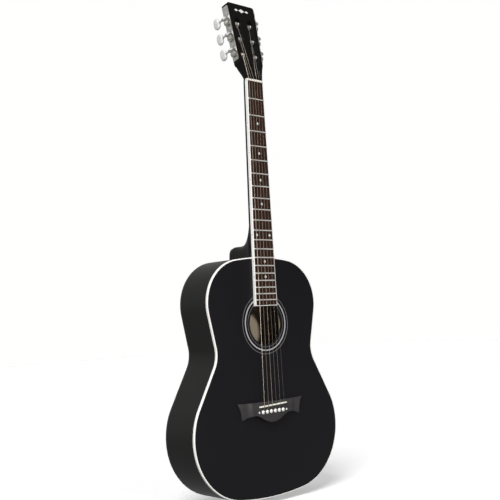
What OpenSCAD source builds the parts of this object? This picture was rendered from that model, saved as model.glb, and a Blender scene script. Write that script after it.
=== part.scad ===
// Flat-top acoustic guitar with a slotted head, standing upright: +Z up the neck,
// soundboard facing -Y, bass side towards -X. Millimetres, z = 0 at the end pin's tip.

/* [Body] */
// Length of the body, tail to shoulder
body_len = 474; // [468:1:480]
// Width across the lower bout
lower_w = 380; // [374:1:386]
// Width across the waist
waist_w = 255; // [250:1:260]
// Width across the upper bout
upper_w = 289; // [285:1:293]
// Depth of the body at the tail
depth_tail = 97; // [93:1:101]
// Depth of the body at the heel
depth_heel = 90; // [86:1:92]
// Thickness of the soundboard and of the back
plate_t = 2.8; // [2.4:0.1:3.2]
// Thickness of the bent sides, and width of the binding
side_t = 2.2; // [2:0.1:2.4]
// Height of the edge binding
bind_h = 4.5; // [4:0.5:5]
// Radius of the sound hole
hole_r = 42; // [38:1:44]

/* [Neck] */
// Open string length, saddle to nut
scale_len = 648; // [645:1:651]
// Width of the nut
nut_w = 43; // [42:0.5:44]
// Width of the fretboard at its sound hole end
board_end_w = 58; // [56:0.5:60]
// Thickness of the fretboard
board_t = 7.5; // [7:0.1:8]
// Number of frets
fret_count = 20; // [18:1:20]
// Fret at which the neck meets the body
joint_fret = 14; // [14:1:14]

/* [Head] */
// Backward tilt of the head, degrees
head_tilt = 11; // [9:0.5:13]
// Length of the head from the nut
head_len = 169.5; // [168:0.5:172]
// Thickness of the head
head_t = 18; // [18:0.5:19]
// Distance between string rollers
roller_pitch = 35; // [35:0.5:35.5]
// Teeth on each tuner gear
gear_teeth = 14; // [12:1:16]

/* [Bridge] */
// Width of the bridge over its wings
bridge_w = 173; // [170:1:176]
// Thickness of the bridge under the saddle
bridge_t = 9; // [8.5:0.1:9.5]
// Height of the saddle's crown above the soundboard
saddle_h = 13; // [12.5:0.1:13.5]
// Spacing of the strings at the saddle
saddle_pitch = 10.7; // [10.4:0.1:11]

/* [Hidden] */
$fn = 48;
fit_gap = 0.05;                                   // radial clearance of a turning shaft
string_d = [1.35, 1.07, 0.81, 0.61, 0.41, 0.3];   // bass to treble

// Heights along Z
pin_out = 11;
tail_z = pin_out;
body_top = tail_z + body_len;
saddle_z = tail_z + 184;
nut_z = saddle_z + scale_len;
nut_len = 5;
head_z = nut_z + nut_len;
board_end_z = saddle_z + 192;
hole_z = saddle_z + 157;
bridge_z = saddle_z - 2;                          // set back for intonation
pin_z = bridge_z - 13.5;

// Places along Y: the row's middle depth is y = 0
front_out = saddle_h + string_d[0] + 0.2;
top_y = -(depth_tail - front_out) / 2;
inner_y = top_y + plate_t;
board_y = top_y - board_t;
slant = asin((depth_tail - depth_heel) / body_len);

// Outline arcs: tail, lower bout, waist, upper bout, shoulder
lower_z = tail_z + 129;
waist_z = tail_z + 288;
upper_z = tail_z + 382;
tail_r = 572;
waist_r = 56;
upper_r = 88;
tail_c = tail_z + tail_r;
lower_hw = lower_w / 2;
waist_hw = waist_w / 2;
upper_hw = upper_w / 2;
lower_r = (pow(tail_r, 2) - pow(lower_hw, 2) - pow(lower_z - tail_c, 2)) / (2 * (tail_r - lower_hw));
drop = upper_z - body_top;
shoulder_r = (pow(upper_r, 2) - pow(upper_hw - upper_r, 2) - pow(drop, 2)) / (2 * (drop + upper_r));
lower_c = [lower_hw - lower_r, lower_z];
waist_c = [waist_hw + waist_r, waist_z];
upper_c = [upper_hw - upper_r, upper_z];
tail_a = atan2(lower_z - tail_c, lower_c[0]);
shoulder_a = atan2(upper_z - body_top + shoulder_r, upper_c[0]);
low_a = bearing(lower_c, waist_c) - acos((lower_r + waist_r) / norm(waist_c - lower_c));
up_a = bearing(upper_c, waist_c) + acos((upper_r + waist_r) / norm(waist_c - upper_c)) - 360;

function bearing(a, b) = atan2(b[1] - a[1], b[0] - a[0]) + (b[1] < a[1] ? 360 : 0);
function arc(c, r, a0, a1, n) = [for (i = [0:n - 1]) let (a = a0 + (a1 - a0) * i / n) c + r * [cos(a), sin(a)]];
function reversed(v) = [for (i = [len(v) - 1:-1:0]) v[i]];
function mirrored(v) = [for (p = v) [-p[0], p[1]]];

// Right half of the outline, tail to shoulder, moved inwards by inset
function half(inset) = concat(
  arc([0, tail_c], tail_r - inset, -90, tail_a, 5),
  arc(lower_c, lower_r - inset, tail_a, low_a, 16),
  arc(waist_c, waist_r + inset, low_a + 180, up_a + 180, 7),
  arc(upper_c, upper_r - inset, up_a, shoulder_a, 14),
  arc([0, body_top - shoulder_r], shoulder_r - inset, shoulder_a, 90, 4),
  [[0, body_top - inset]]
);
function outline(inset) = concat(half(inset), reversed(mirrored([for (i = [1:len(half(inset)) - 2]) half(inset)[i]])));
function half_ring(a, b) = concat(half(a), reversed(half(b)));

// Slanted coordinates of the head: x across, y behind the face, z along from the nut
head_face_y = board_y + 2;
head_foot_hw = 30.6;
head_top_hw = 36.5;
head_taper = atan((head_top_hw - head_foot_hw) / head_len);
flare_z = 36;
slot_x = 16.5;
slot_w = 15;
slot_z0 = 41;
slot_z1 = 137;
roller_z0 = 55;
axis_depth = 8.5;                                 // roller axis behind the face
veneer_t = 1.5;

// Tuner sizes, in a frame on the head's side face: x outwards, y behind the face, z along
plate_gauge = 1.2;
plate_w = 17;
plate_z0 = 41.5;
plate_z1 = 162;
gear_r = 7;
gear_x = 4.9;
gear_w = 4;
worm_r = 3.2;
worm_rise = 10.4;                                 // worm axis beyond the roller axis
post_r = 3;
stub_r = 2;
stub_len = 5;
shaft_r = 1.6;
lug_front = 1;
lug_back = 13.8;
lug_t = 2.4;
button_y = 28;
button_l = 17;
button_h = 24;
button_t = 7.5;
screw_z = [45.5, 77.5, 112.5, 146, 158.5];

function fret_z(n) = saddle_z + scale_len * pow(2, -n / 12);
function board_hw(z) = (nut_w + (board_end_w - nut_w) * (nut_z - z) / (nut_z - board_end_z)) / 2;
function bez(p0, p1, p2, p3, n) = [for (i = [0:n]) let (t = i / n, u = 1 - t)
  u * u * u * p0 + 3 * u * u * t * p1 + 3 * u * t * t * p2 + t * t * t * p3];

// A 2D shape in X and Z, made solid from y = y0 to y = y1
module slab(y0, y1) translate([0, y1, 0]) rotate([90, 0, 0]) linear_extrude(y1 - y0) children();

// Everything behind the slanted plane that lies off in front of the back
module behind(off) translate([0, top_y + depth_tail - off, tail_z])
  rotate([slant, 0, 0]) translate([-250, 0, -60]) cube([500, 160, 640]);

// Rings of points, all of one count, joined into a closed skin
module skin(rings) {
  m = len(rings[0]);
  n = len(rings);
  sides = [for (i = [0:n - 2], j = [0:m - 1]) let (k = (j + 1) % m)
    [[i * m + j, (i + 1) * m + j, (i + 1) * m + k], [i * m + j, (i + 1) * m + k, i * m + k]]];
  polyhedron(
    points = [for (r = rings, p = r) p],
    faces = concat([[for (j = [0:m - 1]) j]], [for (s = sides, f = s) f], [[for (j = [m - 1:-1:0]) (n - 1) * m + j]]),
    convexity = 4
  );
}

module at_head() translate([0, head_face_y, head_z]) rotate([-head_tilt, 0, 0]) children();

// side is 1 on the treble side and -1 on the bass side
module at_side(side) at_head() mirror([side < 0 ? 1 : 0, 0, 0])
  translate([head_foot_hw, 0, 0]) rotate([0, head_taper, 0]) children();

// Tuners 1 to 3 go up the bass side and 4 to 6 down the treble side
function tuner_side(k) = k <= 3 ? -1 : 1;
function tuner_row(k) = k <= 3 ? k - 1 : 6 - k;
function roller_z(k) = roller_z0 + roller_pitch * tuner_row(k);
module at_tuner(k) at_side(tuner_side(k)) translate([0, axis_depth, roller_z(k)]) children();

// ---- Box of the body ----

module soundboard() color([0.11, 0.105, 0.115]) difference() {
  slab(top_y, inner_y) polygon(outline(side_t));
  translate([0, top_y - 1, hole_z]) rotate([-90, 0, 0]) cylinder(r = hole_r, h = plate_t + 2, $fn = 96);
  for (r = ring_list) translate([0, top_y - 1, hole_z]) ring_solid(r[0], r[1], 1 + ring_t);
  pin_holes();
}

// Inlaid rings round the sound hole: inner and outer radius
ring_t = 0.7;
ring_list = [[46.2, 47.2], [52, 54.6], [59.6, 61]];
module ring_solid(r0, r1, h) rotate([-90, 0, 0]) difference() {
  cylinder(r = r1, h = h, $fn = 96);
  translate([0, 0, -1]) cylinder(r = r0, h = h + 2, $fn = 96);
}
module rosette() color([0.62, 0.62, 0.63])
  for (r = ring_list) translate([0, top_y, hole_z]) ring_solid(r[0], r[1], ring_t);

module back_plate() color([0.13, 0.12, 0.12]) intersection() {
  slab(top_y + 40, top_y + 120) polygon(outline(side_t));
  difference() {
    behind(plate_t);
    behind(0);
  }
}

module side_half() difference() {
  slab(top_y + bind_h, top_y + 120) polygon(half_ring(0, side_t));
  behind(bind_h);
  tenon();
  end_pin_bore();
}
module treble_side() color([0.16, 0.16, 0.15]) side_half();
module bass_side() color([0.16, 0.16, 0.15]) mirror([1, 0, 0]) side_half();

lining_w = 6;
lining_h = 13;
module lining_ring() difference() {
  slab(inner_y, top_y + 120) polygon(half_ring(side_t, side_t + lining_w));
  behind(plate_t);
  neck_end();
  tail_end();
}
module both_halves() {
  children();
  mirror([1, 0, 0]) children();
}
module top_linings() color([0.75, 0.62, 0.42]) both_halves() difference() {
  lining_ring();
  translate([-1, inner_y + lining_h, 0]) cube([250, 160, 640]);
}
module back_linings() color([0.75, 0.62, 0.42]) both_halves() intersection() {
  lining_ring();
  behind(plate_t + lining_h);
}

// Room for the end blocks between the linings
neck_block_hw = 34;
neck_block_len = 46;
tail_block_hw = 40;
tail_block_len = 20;
module neck_end() translate([-neck_block_hw, top_y, body_top - neck_block_len - side_t])
  cube([2 * neck_block_hw, 160, neck_block_len + 20]);
module tail_end() translate([-tail_block_hw, top_y, tail_z - 10])
  cube([2 * tail_block_hw, 160, tail_block_len + side_t + 10]);
module inner_box(inset) difference() {
  slab(inner_y, top_y + 120) polygon(outline(inset));
  behind(plate_t);
}
module neck_block() color([0.6, 0.42, 0.26]) difference() {
  intersection() {
    inner_box(side_t);
    neck_end();
  }
  tenon();
}
module tail_block() color([0.6, 0.42, 0.26]) difference() {
  intersection() {
    inner_box(side_t);
    tail_end();
  }
  end_pin_bore();
}

// Neck tenon, let into the neck block through the rim
tenon_hw = 13;
tenon_len = 20;
tenon_d = 62;
module tenon() translate([-tenon_hw, top_y + bind_h + 4, body_top - tenon_len])
  cube([2 * tenon_hw, tenon_d, tenon_len + 3]);

// ---- Braces ----

brace_w = 7;
brace_h = 13;
x_z = saddle_z + 78;
x_angle = 47;
module x_bar(side) intersection() {
  translate([0, inner_y, x_z]) rotate([0, side * x_angle, 0]) translate([-brace_w / 2, 0, -320])
    cube([brace_w, brace_h, 640]);
  slab(inner_y, top_y + 30) polygon(outline(side_t + lining_w));
}
module x_lap(y0) translate([-12, y0, x_z - 12]) cube([24, brace_h, 24]);
module x_braces() color([0.83, 0.7, 0.48]) {
  difference() {
    x_bar(1);
    intersection() {
      x_bar(-1);
      x_lap(inner_y + brace_h / 2);
    }
  }
  difference() {
    x_bar(-1);
    intersection() {
      x_bar(1);
      x_lap(inner_y - brace_h / 2);
    }
  }
}

// A bar glued under the soundboard: centre, angle from vertical, length
module bar(x, z, a, l, w, h) translate([x, inner_y, z]) rotate([0, a, 0]) translate([-w / 2, 0, -l / 2])
  cube([w, h, l]);
module top_braces() color([0.83, 0.7, 0.48]) {
  intersection() {
    bar(0, hole_z + 62, 90, 300, 10, 14);
    slab(inner_y, top_y + 30) polygon(outline(side_t + lining_w));
  }
  for (s = [-1, 1]) {
    bar(s * 48, hole_z + 12, 0, 74, 6, 7);
    bar(s * 128, saddle_z - 4, s * -58, 46, 6, 8);
    bar(s * 112, saddle_z + 28, s * -62, 42, 6, 8);
  }
  bar(-12, saddle_z - 70, 62, 132, 6, 9);
  bar(-26, saddle_z - 106, 62, 118, 6, 9);
}
module bridge_plate() color([0.8, 0.66, 0.45]) difference() {
  translate([-58, inner_y, saddle_z - 34]) cube([116, 2.5, 46]);
  pin_holes();
}

back_bars = [72, 168, 286, 388];
module back_bar(z) intersection() {
  inner_box(side_t + lining_w);
  behind(plate_t + 14);
  translate([-200, top_y, tail_z + z - 4.5]) cube([400, 120, 9]);
}
module back_braces() color([0.83, 0.7, 0.48]) for (z = back_bars) back_bar(z);
module back_strip() color([0.8, 0.66, 0.45]) difference() {
  intersection() {
    inner_box(side_t + lining_w);
    behind(plate_t + 2.2);
    translate([-8, top_y, tail_z]) cube([16, 120, body_len]);
  }
  neck_end();
  tail_end();
  for (z = back_bars) translate([-20, top_y, tail_z + z - 4.5]) cube([40, 120, 9]);
}

// ---- Edges ----

module top_binding() color([0.93, 0.92, 0.88]) both_halves()
  slab(top_y, top_y + bind_h) polygon(half_ring(0, side_t));
module back_binding() color([0.08, 0.08, 0.08]) both_halves() intersection() {
  slab(top_y + 40, top_y + 120) polygon(half_ring(0, side_t));
  difference() {
    behind(bind_h);
    behind(0);
  }
}

// ---- Bridge ----

pin_r = 2.5;
module at_strings(z, pitch) for (i = [0:5]) translate([(i - 2.5) * pitch, 0, z]) children();
module pin_holes() at_strings(pin_z, saddle_pitch) translate([0, top_y - 20, 0]) rotate([-90, 0, 0])
  cylinder(r = pin_r, h = 60);

// Right half of the bridge from its top edge round the wing to the belly
bridge_hw = bridge_w / 2;
function bridge_half() = concat(
  bez([0, 5.5], [25, 5.5], [60, 6], [bridge_hw - 1, 7.2], 8),
  bez([bridge_hw, 6.6], [bridge_hw - 5.5, 0], [bridge_hw - 11, -12], [bridge_hw - 10.3, -26], 8),
  bez([bridge_hw - 11.3, -26.4], [66, -21], [52, -18], [42, -19.5], 6),
  bez([40, -19.8], [28, -22.5], [20, -34.8], [0, -34.8], 9)
);
bridge_inner = 48;
wing_t = 4;
module bridge() color([0.2, 0.2, 0.21]) difference() {
  translate([0, 0, bridge_z]) slab(top_y - bridge_t, top_y)
    polygon(concat(bridge_half(), reversed(mirrored([for (i = [1:len(bridge_half()) - 2]) bridge_half()[i]]))));
  for (s = [-1, 1]) scale([s, 1, 1]) wing_cut();
  saddle_shape(top_y - bridge_t - 1, top_y - bridge_t + 6, 0);
  pin_holes();
  for (x = dot_x) translate([x, top_y - bridge_t - 1, pin_z]) rotate([-90, 0, 0]) cylinder(r = dot_r, h = 1.8);
}
scoop_r = 17;
module wing_cut() translate([0, top_y - wing_t, bridge_z - 60]) {
  translate([bridge_inner + scoop_r, -scoop_r, 0]) cylinder(r = scoop_r, h = 100, $fn = 72);
  translate([bridge_inner + scoop_r, -scoop_r, 0]) cube([60, scoop_r, 100]);
}
dot_x = [-36.5, 36.5];
dot_r = 2;
module bridge_dots() color([0.9, 0.9, 0.88])
  for (x = dot_x) translate([x, top_y - bridge_t, pin_z]) rotate([-90, 0, 0]) cylinder(r = dot_r, h = 0.8);

saddle_len = 73;
saddle_slant = 2.4;
module saddle_shape(y0, y1, crown) translate([0, 0, bridge_z - 1.5]) rotate([0, -saddle_slant, 0]) {
  translate([-saddle_len / 2, y0 + crown, -1.5]) cube([saddle_len, y1 - y0 - crown, 3]);
  if (crown > 0) translate([-saddle_len / 2, y0 + crown, 0]) rotate([0, 90, 0]) cylinder(r = crown, h = saddle_len);
}
module saddle() color([0.93, 0.92, 0.87]) saddle_shape(top_y - saddle_h, top_y - bridge_t + 6, 1.5);

module bridge_pins() color([0.93, 0.92, 0.88]) at_strings(pin_z, saddle_pitch)
  translate([0, top_y - bridge_t, 0]) rotate([90, 0, 0]) rotate_extrude()
    polygon([[0, -18], [pin_r - 0.6, -18], [pin_r, -16], [pin_r, 0], [3.7, 0], [3.9, 0.8], [3.5, 2], [2.4, 2.9], [0, 3.3]]);

end_pin_y = top_y + depth_tail / 2;
end_shank_r = 4;
waist_pin_r = 4.6;                                // where a strap's hole sits
module end_pin_bore() translate([0, end_pin_y, tail_z - 5]) cylinder(r = end_shank_r, h = 40);
module end_pin() color([0.9, 0.89, 0.84]) translate([0, end_pin_y, 0]) rotate_extrude()
  polygon([[0, 0], [4, 0.3], [6, 1.4], [6.8, 2.8], [6.4, 4], [waist_pin_r, 4.8], [waist_pin_r, 9], [6.2, pin_out - 0.6],
    [6.2, pin_out - 0.2], [end_shank_r, pin_out - 0.2], [end_shank_r, pin_out + 22], [0, pin_out + 22]]);

// ---- Neck ----

// Depth of the shaft behind the fretboard
shaft_d_nut = 13.5;
shaft_d_heel = 16.5;
function shaft_d(z) = shaft_d_heel + (shaft_d_nut - shaft_d_heel) * (z - body_top) / (head_z - body_top);
function shaft_ring(z) = [for (i = [0:14]) let (a = 180 * i / 14)
  [board_hw(z) * cos(a), top_y + shaft_d(z) * pow(sin(a), 0.8), z]];
module neck_shaft() color([0.09, 0.09, 0.09]) difference() {
  skin([for (i = [0:2]) shaft_ring(body_top + (head_z - body_top) * i / 2)]);
  rod();
}

// The heel sweeps back from the shaft: y behind the soundboard, half width, height above the shoulder
heel_d = depth_heel - 4;
function heel_hw(t) = 26 - 15 * pow(t, 0.75);
function heel_h(t) = 24 + 34 * pow(1 - t, 5) + 3 * t - 6 * pow(t, 12);
heel_y0 = 10;
module neck_heel() color([0.09, 0.09, 0.09]) {
  difference() {
    union() {
      skin([for (i = [0:12]) let (t = i / 12, y = top_y + heel_y0 + (heel_d - heel_y0) * t)
        reversed([for (j = [0:12]) let (a = 180 * j / 12)
          [heel_hw(t) * cos(a), y, body_top + heel_h(t) * pow(sin(a), 0.7)]])]);
      tenon();
    }
    skin([shaft_ring(body_top - 1), shaft_ring(head_z)]);
  }
}
cap_t = 3;
module heel_cap() color([0.08, 0.08, 0.08]) skin([for (i = [0:1])
  reversed([for (j = [0:12]) let (a = 180 * j / 12)
    [heel_hw(1) * cos(a), top_y + heel_d + cap_t * i, body_top + heel_h(1) * pow(sin(a), 0.7)]])]);

rod_hw = 3;
rod_d = 9;
module rod() translate([-rod_hw, top_y, body_top + 2]) cube([2 * rod_hw, rod_d, nut_z - body_top - 42]);
module truss_rod() color([0.55, 0.56, 0.58]) rod();

// ---- Head ----

function head_half() = concat(
  [[nut_w / 2 - 0.2, -12], [nut_w / 2 + 0.2, 0]],
  bez([nut_w / 2 + 0.5, 3], [nut_w / 2 + 3, 14], [head_foot_hw - 4, 24], [side_x(flare_z), flare_z], 8),
  [[side_x(head_len - 6), head_len - 6]],
  arc([side_x(head_len - 6) - 5.5, head_len - 5.5], 5.5, 15, 90, 5),
  [[side_x(head_len - 6) - 8, head_len]]
);
function side_x(z) = head_foot_hw + z * tan(head_taper);
module head_plan() difference() {
  polygon(concat(head_half(), reversed(mirrored(head_half()))));
  for (s = [-1, 1]) polygon(concat(
    arc([s * slot_x, slot_z0 + slot_w / 2], slot_w / 2, 180, 360, 12), [[s * slot_x + slot_w / 2, slot_z0 + slot_w / 2]],
    arc([s * slot_x, slot_z1 - slot_w / 2], slot_w / 2, 0, 180, 12), [[s * slot_x - slot_w / 2, slot_z1 - slot_w / 2]]
  ));
}
module head_slab(d0, d1) translate([0, d1, 0]) rotate([90, 0, 0]) linear_extrude(d1 - d0) head_plan();

// Ramps that let the outer strings down into the slots
module slot_ramps() for (s = [-1, 1]) translate([s * slot_x - 4, 0, 0]) rotate([90, 0, 90]) linear_extrude(9)
  polygon([[-4, 29], [0.2, 29], [3.4, 46], [-4, 46]]);
module above_nut() translate([-60, top_y - 60, head_z]) cube([120, 200, 200]);
module headstock() color([0.09, 0.09, 0.09]) difference() {
  intersection() {
    at_head() head_slab(veneer_t, head_t);
    above_nut();
  }
  at_head() slot_ramps();
  for (k = [1:6]) at_tuner(k) {
    translate([slot_out_x(k) - slot_w - stub_len - 0.4, 0, 0]) rotate([0, 90, 0])
      cylinder(r = stub_r + fit_gap, h = slot_w / 2 + stub_len);
    translate([slot_out_x(k) - slot_w / 2, 0, 0]) rotate([0, 90, 0])
      cylinder(r = post_r + fit_gap, h = slot_w / 2 + 16);
  }
}
module head_veneer() color([0.07, 0.07, 0.07]) difference() {
  intersection() {
    at_head() head_slab(0, veneer_t);
    above_nut();
  }
  at_head() {
    slot_ramps();
    inlay(-1);
  }
}

// Plain ornament in the head's face: a lozenge between two smaller ones
inlay_z = 153;
module lozenge(x, w, h) translate([x, inlay_z]) polygon([[-w, 0], [0, -h], [w, 0], [0, h]]);
module inlay(y0) translate([0, 0.6, 0]) rotate([90, 0, 0]) linear_extrude(0.6 - y0) {
  lozenge(0, 8, 4.5);
  lozenge(-14, 5, 2.8);
  lozenge(14, 5, 2.8);
}
module head_inlay() color([0.9, 0.9, 0.88]) at_head() inlay(0);

// ---- Fretboard ----

edge_t = 1.5;
module board_plan(inset) polygon([
  [board_hw(board_end_z) - inset, board_end_z + inset],
  [board_hw(nut_z) - inset, nut_z],
  [inset - board_hw(nut_z), nut_z],
  [inset - board_hw(board_end_z), board_end_z + inset]
]);
single_dots = [3, 5, 7, 9, 15, 17];
double_dots = [12];
double_x = 17;
function between(n) = (fret_z(n) + fret_z(n - 1)) / 2;
module at_dots(y) translate([0, y, 0]) {
  for (n = single_dots) translate([0, 0, between(n)]) rotate([-90, 0, 0]) children();
  for (n = double_dots, s = [-1, 1]) translate([s * double_x, 0, between(n)]) rotate([-90, 0, 0]) children();
}
fret_tang = 2;
module fretboard() color([0.25, 0.19, 0.17]) difference() {
  slab(board_y, top_y) board_plan(edge_t);
  at_dots(board_y - 1) cylinder(r = 2.6, h = 2.2, $fn = 32);
  for (n = [1:fret_count]) translate([-40, board_y - 1, fret_z(n) - 0.3]) cube([80, 1 + fret_tang, 0.6]);
}
module fretboard_binding() color([0.93, 0.92, 0.88]) difference() {
  slab(board_y, top_y) difference() {
    board_plan(0);
    board_plan(edge_t);
    translate([-60, nut_z - 0.01]) square([120, 10]);
  }
  for (z = side_dot_z) translate([-60, board_y + 2.6, z]) rotate([0, 90, 0])
    cylinder(r = 1, h = 60 - board_hw(z) + 0.8, $fn = 24);
}
module frets() color([0.72, 0.72, 0.74]) for (n = [1:fret_count]) let (w = board_hw(fret_z(n)))
  translate([0, board_y, fret_z(n)]) {
    translate([-w + 0.5, 0, 0]) rotate([90, 0, 90]) linear_extrude(2 * w - 1)
      polygon([for (i = [0:8]) let (a = 180 * i / 8) [-1.1 * sin(a), 1.15 * cos(a)]]);
    translate([-w + edge_t + 0.1, -0.2, -0.3]) cube([2 * (w - edge_t - 0.1), fret_tang + 0.2, 0.6]);
  }
module position_dots() color([0.9, 0.9, 0.88]) at_dots(board_y) cylinder(r = 2.6, h = 1.2, $fn = 32);
side_dot_z = [for (n = concat(single_dots, double_dots)) between(n)];
module side_dots() color([0.1, 0.1, 0.1]) for (z = side_dot_z)
  translate([-board_hw(z), board_y + 2.6, z]) rotate([0, 90, 0]) cylinder(r = 1, h = 0.8, $fn = 24);

nut_pitch = 7.1;
nut_top = board_y - 1.7;
module nut() color([0.93, 0.92, 0.87]) difference() {
  translate([-nut_w / 2, nut_top, nut_z]) cube([nut_w, top_y - nut_top, nut_len]);
  translate([-nut_w, nut_top, nut_z + nut_len]) rotate([-18, 0, 0]) translate([0, -5, -9]) cube([2 * nut_w, 5, 12]);
  for (i = [0:5]) translate([(i - 2.5) * nut_pitch - string_d[i] / 2 - 0.1, nut_top - 3, nut_z - 1])
    cube([string_d[i] + 0.2, 3.75 + 0.13 * string_d[i], 12]);
}

// ---- Tuners ----

module tuner_plate(side) color([0.7, 0.7, 0.71]) difference() {
  at_side(side) {
    rotate([0, 90, 0]) linear_extrude(plate_gauge) plate_plan();
    for (r = [0:2]) translate([0, 0, roller_z0 + roller_pitch * r + worm_rise]) {
      translate([0, lug_front, -4.2]) cube([8.6, lug_t, 8.4]);
      translate([0, lug_back, -4.2]) cube([8.6, lug_t + 1, 8.4]);
    }
  }
  at_side(side) for (r = [0:2]) translate([0, axis_depth, roller_z0 + roller_pitch * r]) {
    translate([-1, 0, 0]) rotate([0, 90, 0]) cylinder(r = post_r + fit_gap, h = 6);
    translate([gear_x, -12, worm_rise]) rotate([-90, 0, 0]) cylinder(r = shaft_r + fit_gap, h = 30);
  }
  at_side(side) for (z = screw_z) translate([-1, axis_depth, z]) rotate([0, 90, 0]) cylinder(r = 1.2, h = 6);
}
module plate_plan() {
  translate([-plate_z1, axis_depth - plate_w / 2 + 2]) square([plate_z1 - plate_z0, plate_w - 4]);
  translate([-plate_z1 + 3, axis_depth - plate_w / 2]) square([plate_z1 - plate_z0 - 6, plate_w]);
}
module tuner_plate_bass() tuner_plate(-1);
module tuner_plate_treble() tuner_plate(1);
module plate_screws() color([0.7, 0.7, 0.71]) for (s = [-1, 1]) at_side(s) for (z = screw_z)
  translate([plate_gauge, axis_depth, z]) rotate([0, 90, 0]) rotate_extrude($fn = 32)
    polygon([[0, 1], [1.2, 0.9], [2.3, 0], [1.2, 0], [1.2, -plate_gauge], [1.1, -8], [0, -9]]);

module worm(k) color([0.7, 0.7, 0.71]) at_tuner(k) translate([gear_x, -axis_depth, worm_rise]) rotate([-90, 0, 0]) {
  translate([0, 0, lug_front]) cylinder(r = shaft_r, h = button_y + 3 - lug_front);
  translate([0, 0, lug_front + lug_t + 0.2]) cylinder(r = worm_r, h = lug_back - lug_front - lug_t - 0.4);
  translate([0, 0, lug_back + lug_t + 1.2]) cylinder(r = 3, h = 2);
  translate([0, 0, lug_back + lug_t + 3.2]) cylinder(r = 2.2, h = button_y - lug_back - lug_t - 3.2);
}
module worm_1() worm(1);
module worm_2() worm(2);
module worm_3() worm(3);
module worm_4() worm(4);
module worm_5() worm(5);
module worm_6() worm(6);

// Oval button, flat in X, bored for the end of its shaft
module button(k) color([0.78, 0.78, 0.76]) at_tuner(k) translate([gear_x, -axis_depth, worm_rise]) difference() {
  translate([-button_t / 2, button_y + button_l / 2, 0]) rotate([90, 0, 90]) linear_extrude(button_t)
    polygon([for (i = [0:31]) let (a = 360 * i / 32)
      [button_l / 2 * sign(cos(a)) * pow(abs(cos(a)), 0.85), button_h / 2 * sign(sin(a)) * pow(abs(sin(a)), 0.85)]]);
  translate([0, button_y - 1, 0]) rotate([-90, 0, 0]) cylinder(r = 2.2, h = 1.2);
  translate([0, button_y - 1, 0]) rotate([-90, 0, 0]) cylinder(r = shaft_r, h = 4);
}
module button_1() button(1);
module button_2() button(2);
module button_3() button(3);
module button_4() button(4);
module button_5() button(5);
module button_6() button(6);

barrel_r = 5;
wind_r = 6;
function slot_out_x(k) = slot_x + slot_w / 2 - side_x(roller_z(k));
module roller(k) color([0.75, 0.66, 0.42]) at_tuner(k) {
  x_out = slot_out_x(k) - 0.5;
  x_in = x_out - slot_w + 1.1;
  translate([x_in, 0, 0]) rotate([0, 90, 0]) cylinder(r = barrel_r, h = x_out - x_in);
  translate([(x_in + x_out) / 2 - 2, 0, 0]) rotate([0, 90, 0]) cylinder(r = wind_r, h = 4);
  translate([x_in - stub_len, 0, 0]) rotate([0, 90, 0]) cylinder(r = stub_r, h = stub_len + 1);
  translate([x_out - 1, 0, 0]) rotate([0, 90, 0]) cylinder(r = post_r, h = gear_x - x_out);
  translate([gear_x - gear_w / 2 - 1.2, 0, 0]) rotate([0, 90, 0]) cylinder(r = 4, h = 2);
  translate([gear_x - gear_w / 2, 0, 0]) rotate([0, 90, 0]) linear_extrude(gear_w) gear_plan();
  translate([gear_x + gear_w / 2 - 0.5, 0, 0]) rotate([0, 90, 0]) cylinder(r = 2.8, h = 1.8);
}
module gear_plan() polygon([for (i = [0:gear_teeth - 1], q = [[-0.3, -1.1], [-0.14, 0], [0.14, 0], [0.3, -1.1]])
  let (a = 360 * (i + q[0]) / gear_teeth) (gear_r + q[1]) * [cos(a), sin(a)]]);
module roller_1() roller(1);
module roller_2() roller(2);
module roller_3() roller(3);
module roller_4() roller(4);
module roller_5() roller(5);
module roller_6() roller(6);

// ---- Strings ----

// Where string k leaves its roller, in row coordinates, clear of the winding by gap
function head_point(x, y, z) = [x, head_face_y + y * cos(head_tilt) + z * sin(head_tilt),
  head_z - y * sin(head_tilt) + z * cos(head_tilt)];
string_clear = 0.15;
function string_path(k) = let (r = string_d[k - 1] / 2, s = tuner_side(k), x0 = (k - 3.5) * saddle_pitch,
  x1 = (k - 3.5) * nut_pitch) [
  [x0, top_y - bridge_t - r - 0.1, pin_z + 4.6],
  [x0, top_y - saddle_h - r - 0.15, bridge_z - 1.5 + x0 * tan(saddle_slant)],
  [x1, nut_top + 0.5 - 0.75 * r, nut_z],
  [x1, nut_top + 0.7 - 0.75 * r, nut_z + nut_len - 0.5],
  head_point(s * slot_x, axis_depth - wind_r - r - string_clear, roller_z(k))
];
module string(k) skin([for (p = string_path(k))
  [for (j = [0:7]) let (a = 360 * j / 8) p + string_d[k - 1] / 2 * [cos(a), sin(a), 0]]]);
module strings() color([0.6, 0.52, 0.42]) for (k = [1:6]) string(k);

soundboard();
rosette();
back_plate();
bass_side();
treble_side();
top_linings();
back_linings();
neck_block();
tail_block();
x_braces();
top_braces();
bridge_plate();
back_braces();
back_strip();
top_binding();
back_binding();
bridge();
saddle();
bridge_pins();
bridge_dots();
end_pin();
neck_shaft();
neck_heel();
heel_cap();
headstock();
head_veneer();
head_inlay();
truss_rod();
fretboard();
fretboard_binding();
frets();
position_dots();
side_dots();
nut();
tuner_plate_bass();
tuner_plate_treble();
plate_screws();
worm_1();
worm_2();
worm_3();
worm_4();
worm_5();
worm_6();
button_1();
button_2();
button_3();
button_4();
button_5();
button_6();
roller_1();
roller_2();
roller_3();
roller_4();
roller_5();
roller_6();
strings();
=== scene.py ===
import bpy, bmesh, math
from mathutils import Matrix, Vector


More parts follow.
